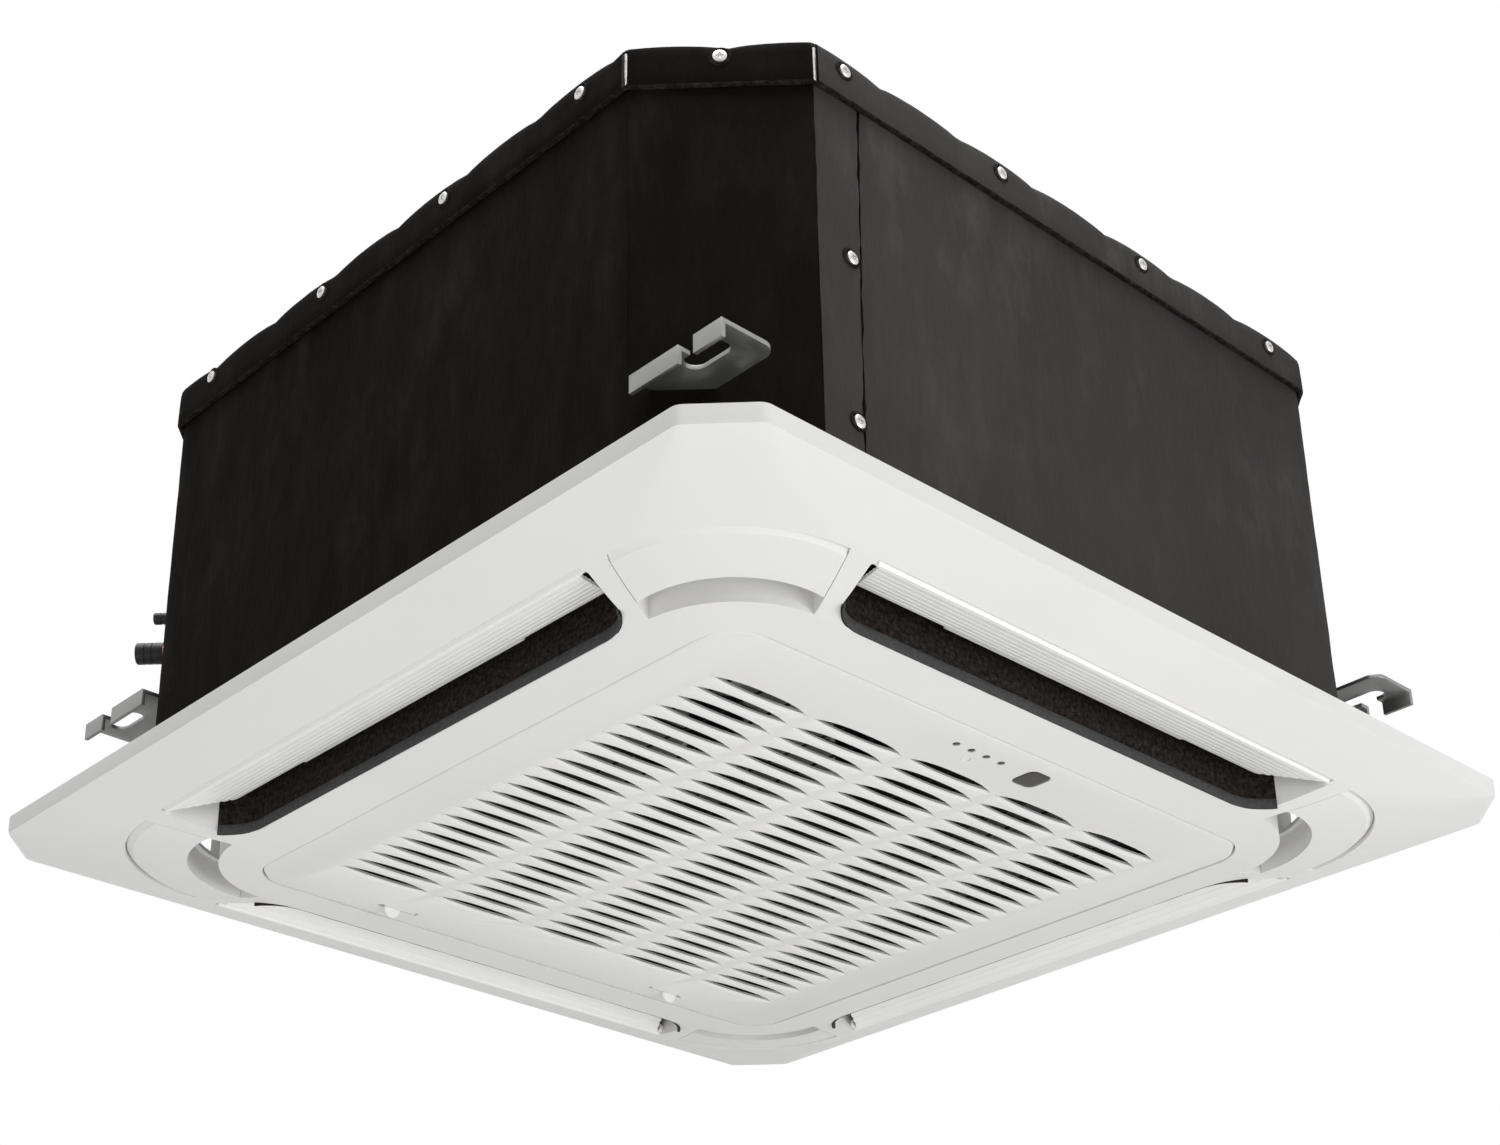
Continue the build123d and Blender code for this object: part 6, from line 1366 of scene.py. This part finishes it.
def build_studio():
    """Pale floor, soft lamps, plain air light and the camera."""
    studio = bpy.context.scene.cassette_studio
    floor_z = studio.floor_height
    points = [(-6, -6, floor_z), (6, -6, floor_z), (6, 6, floor_z), (-6, 6, floor_z)]
    floor = new_piece("floor", [Vector(p) for p in points], [[0, 1, 2, 3]])
    paint = Finish("floor_pale")
    paint.set(Base_Color=paint.blend(paint.cloud(1.5), (0.86, 0.86, 0.85), (0.88, 0.88, 0.87)), Roughness=0.8)
    floor.data.materials.append(paint.material)

    world = bpy.data.worlds.new("studio")
    world.use_nodes = True
    bpy.context.scene.world = world
    nodes, links = world.node_tree.nodes, world.node_tree.links
    path = nodes.new("ShaderNodeLightPath")
    seen = nodes.new("ShaderNodeMath")
    seen.operation = "MAXIMUM"
    links.new(path.outputs["Is Camera Ray"], seen.inputs[0])
    links.new(path.outputs["Is Transmission Ray"], seen.inputs[1])
    glossy = nodes.new("ShaderNodeMath")
    glossy.operation = "MAXIMUM"
    links.new(seen.outputs[0], glossy.inputs[0])
    links.new(path.outputs["Is Glossy Ray"], glossy.inputs[1])
    level = nodes.new("ShaderNodeMapRange")
    level.inputs[3].default_value = studio.air_light
    level.inputs[4].default_value = 1.0
    links.new(glossy.outputs[0], level.inputs[0])
    background = nodes["Background"]
    background.inputs["Color"].default_value = (1, 1, 1, 1)
    links.new(level.outputs["Result"], background.inputs["Strength"])

    soft_lamp("key", (2.3, 0.65, -0.85), (0, 0, 0.05), 1.8, 1.5, studio.key_power)
    soft_lamp("fill", (0.3, -0.9, -1.25), (0, 0, 0), 2.2, 2.0, studio.fill_power)
    soft_lamp("top", (0.4, -0.4, 2.6), (0, 0, 0), 2.5, 2.5, studio.top_power)

    scene = bpy.context.scene
    scene.view_settings.view_transform = "Standard"
    camera = bpy.data.cameras.new("camera")
    camera.sensor_width = 36.0
    camera.lens = 60.18
    camera.shift_x, camera.shift_y = 0.0344, 0.1137
    camera.clip_end = 30.0
    holder = bpy.data.objects.new("camera", camera)
    forward = Vector((-0.6587, 0.6122, 0.4374)).normalized()
    right = Vector((0.6776, 0.7354, -0.0089)).normalized()
    up = right.cross(forward).normalized()
    turn = Matrix((right, up, -forward)).transposed().to_4x4()
    holder.matrix_world = Matrix.Translation((0.9839, -0.9520, -0.6190)) @ turn
    scene.collection.objects.link(holder)
    scene.camera = holder


# ------------------------------------------------------------------ operators and panel
def operator(name, label, text, build):
    """Operator class that runs one builder."""

    def execute(self, context):
        build()
        return {"FINISHED"}

    members = {"__doc__": text, "bl_idname": f"cassette.{name}", "bl_label": label, "execute": execute}
    return type(f"CASSETTE_OT_{name}", (bpy.types.Operator,), members)


STEPS = [
    operator("studio", "Studio", "Lay the floor, the lamps and the camera", build_studio),
    operator("panel", "Panel", "Build the panel frame and its corner covers", build_panel),
    operator("louvres", "Louvres", "Build the four louvres", build_louvres),
    operator("seals", "Outlet strips", "Build the foam strips of the outlets", build_seals),
    operator("grille", "Grille", "Build the slotted intake grille", build_grille),
    operator("display", "Display", "Build the status lights, the window and the button", build_display),
    operator("latches", "Latches", "Build the latches of the grille", build_latches),
    operator("jacket", "Jacket", "Build the foam jacket of the body", build_jacket),
    operator("cap", "Cap", "Build the foam cap of the body", build_cap),
    operator("screws", "Screws", "Build the screws and bolts", build_screws),
    operator("brackets", "Brackets", "Build the hanger brackets", build_brackets),
    operator("pipes", "Pipes", "Build the caps of the pipes", build_pipes),
    operator("inside", "Inside", "Finish the pieces inside the body", build_inside),
]


class CASSETTE_PT_steps(bpy.types.Panel):
    """Lists the sizes, the colours and the building steps."""

    bl_label = "Ceiling cassette"
    bl_idname = "CASSETTE_PT_steps"
    bl_space_type = "VIEW_3D"
    bl_region_type = "UI"
    bl_category = "Cassette"

    def draw(self, context):
        scene = context.scene
        for group in (scene.cassette_sizes, scene.cassette_colours, scene.cassette_studio):
            box = self.layout.box()
            for name in type(group).__annotations__:
                box.prop(group, name)
        for step in STEPS:
            self.layout.operator(step.bl_idname)


GROUPS = {
    "cassette_sizes": CassetteSizes,
    "cassette_colours": CassetteColours,
    "cassette_studio": CassetteStudio,
}


def register():
    for group in GROUPS.values():
        bpy.utils.register_class(group)
    for name, group in GROUPS.items():
        setattr(bpy.types.Scene, name, PointerProperty(type=group))
    for step in STEPS:
        bpy.utils.register_class(step)
    bpy.utils.register_class(CASSETTE_PT_steps)


def unregister():
    bpy.utils.unregister_class(CASSETTE_PT_steps)
    for step in reversed(STEPS):
        bpy.utils.unregister_class(step)
    for name in GROUPS:
        delattr(bpy.types.Scene, name)
    for group in reversed(list(GROUPS.values())):
        bpy.utils.unregister_class(group)


def main():
    """Builds everything in order and notes the CAD's and the dressed model's boxes."""
    register()
    for step in STEPS:
        getattr(bpy.ops.cassette, step.bl_idname.split(".")[1])()
    bpy.context.view_layer.update()


if __name__ == "__main__":
    main()
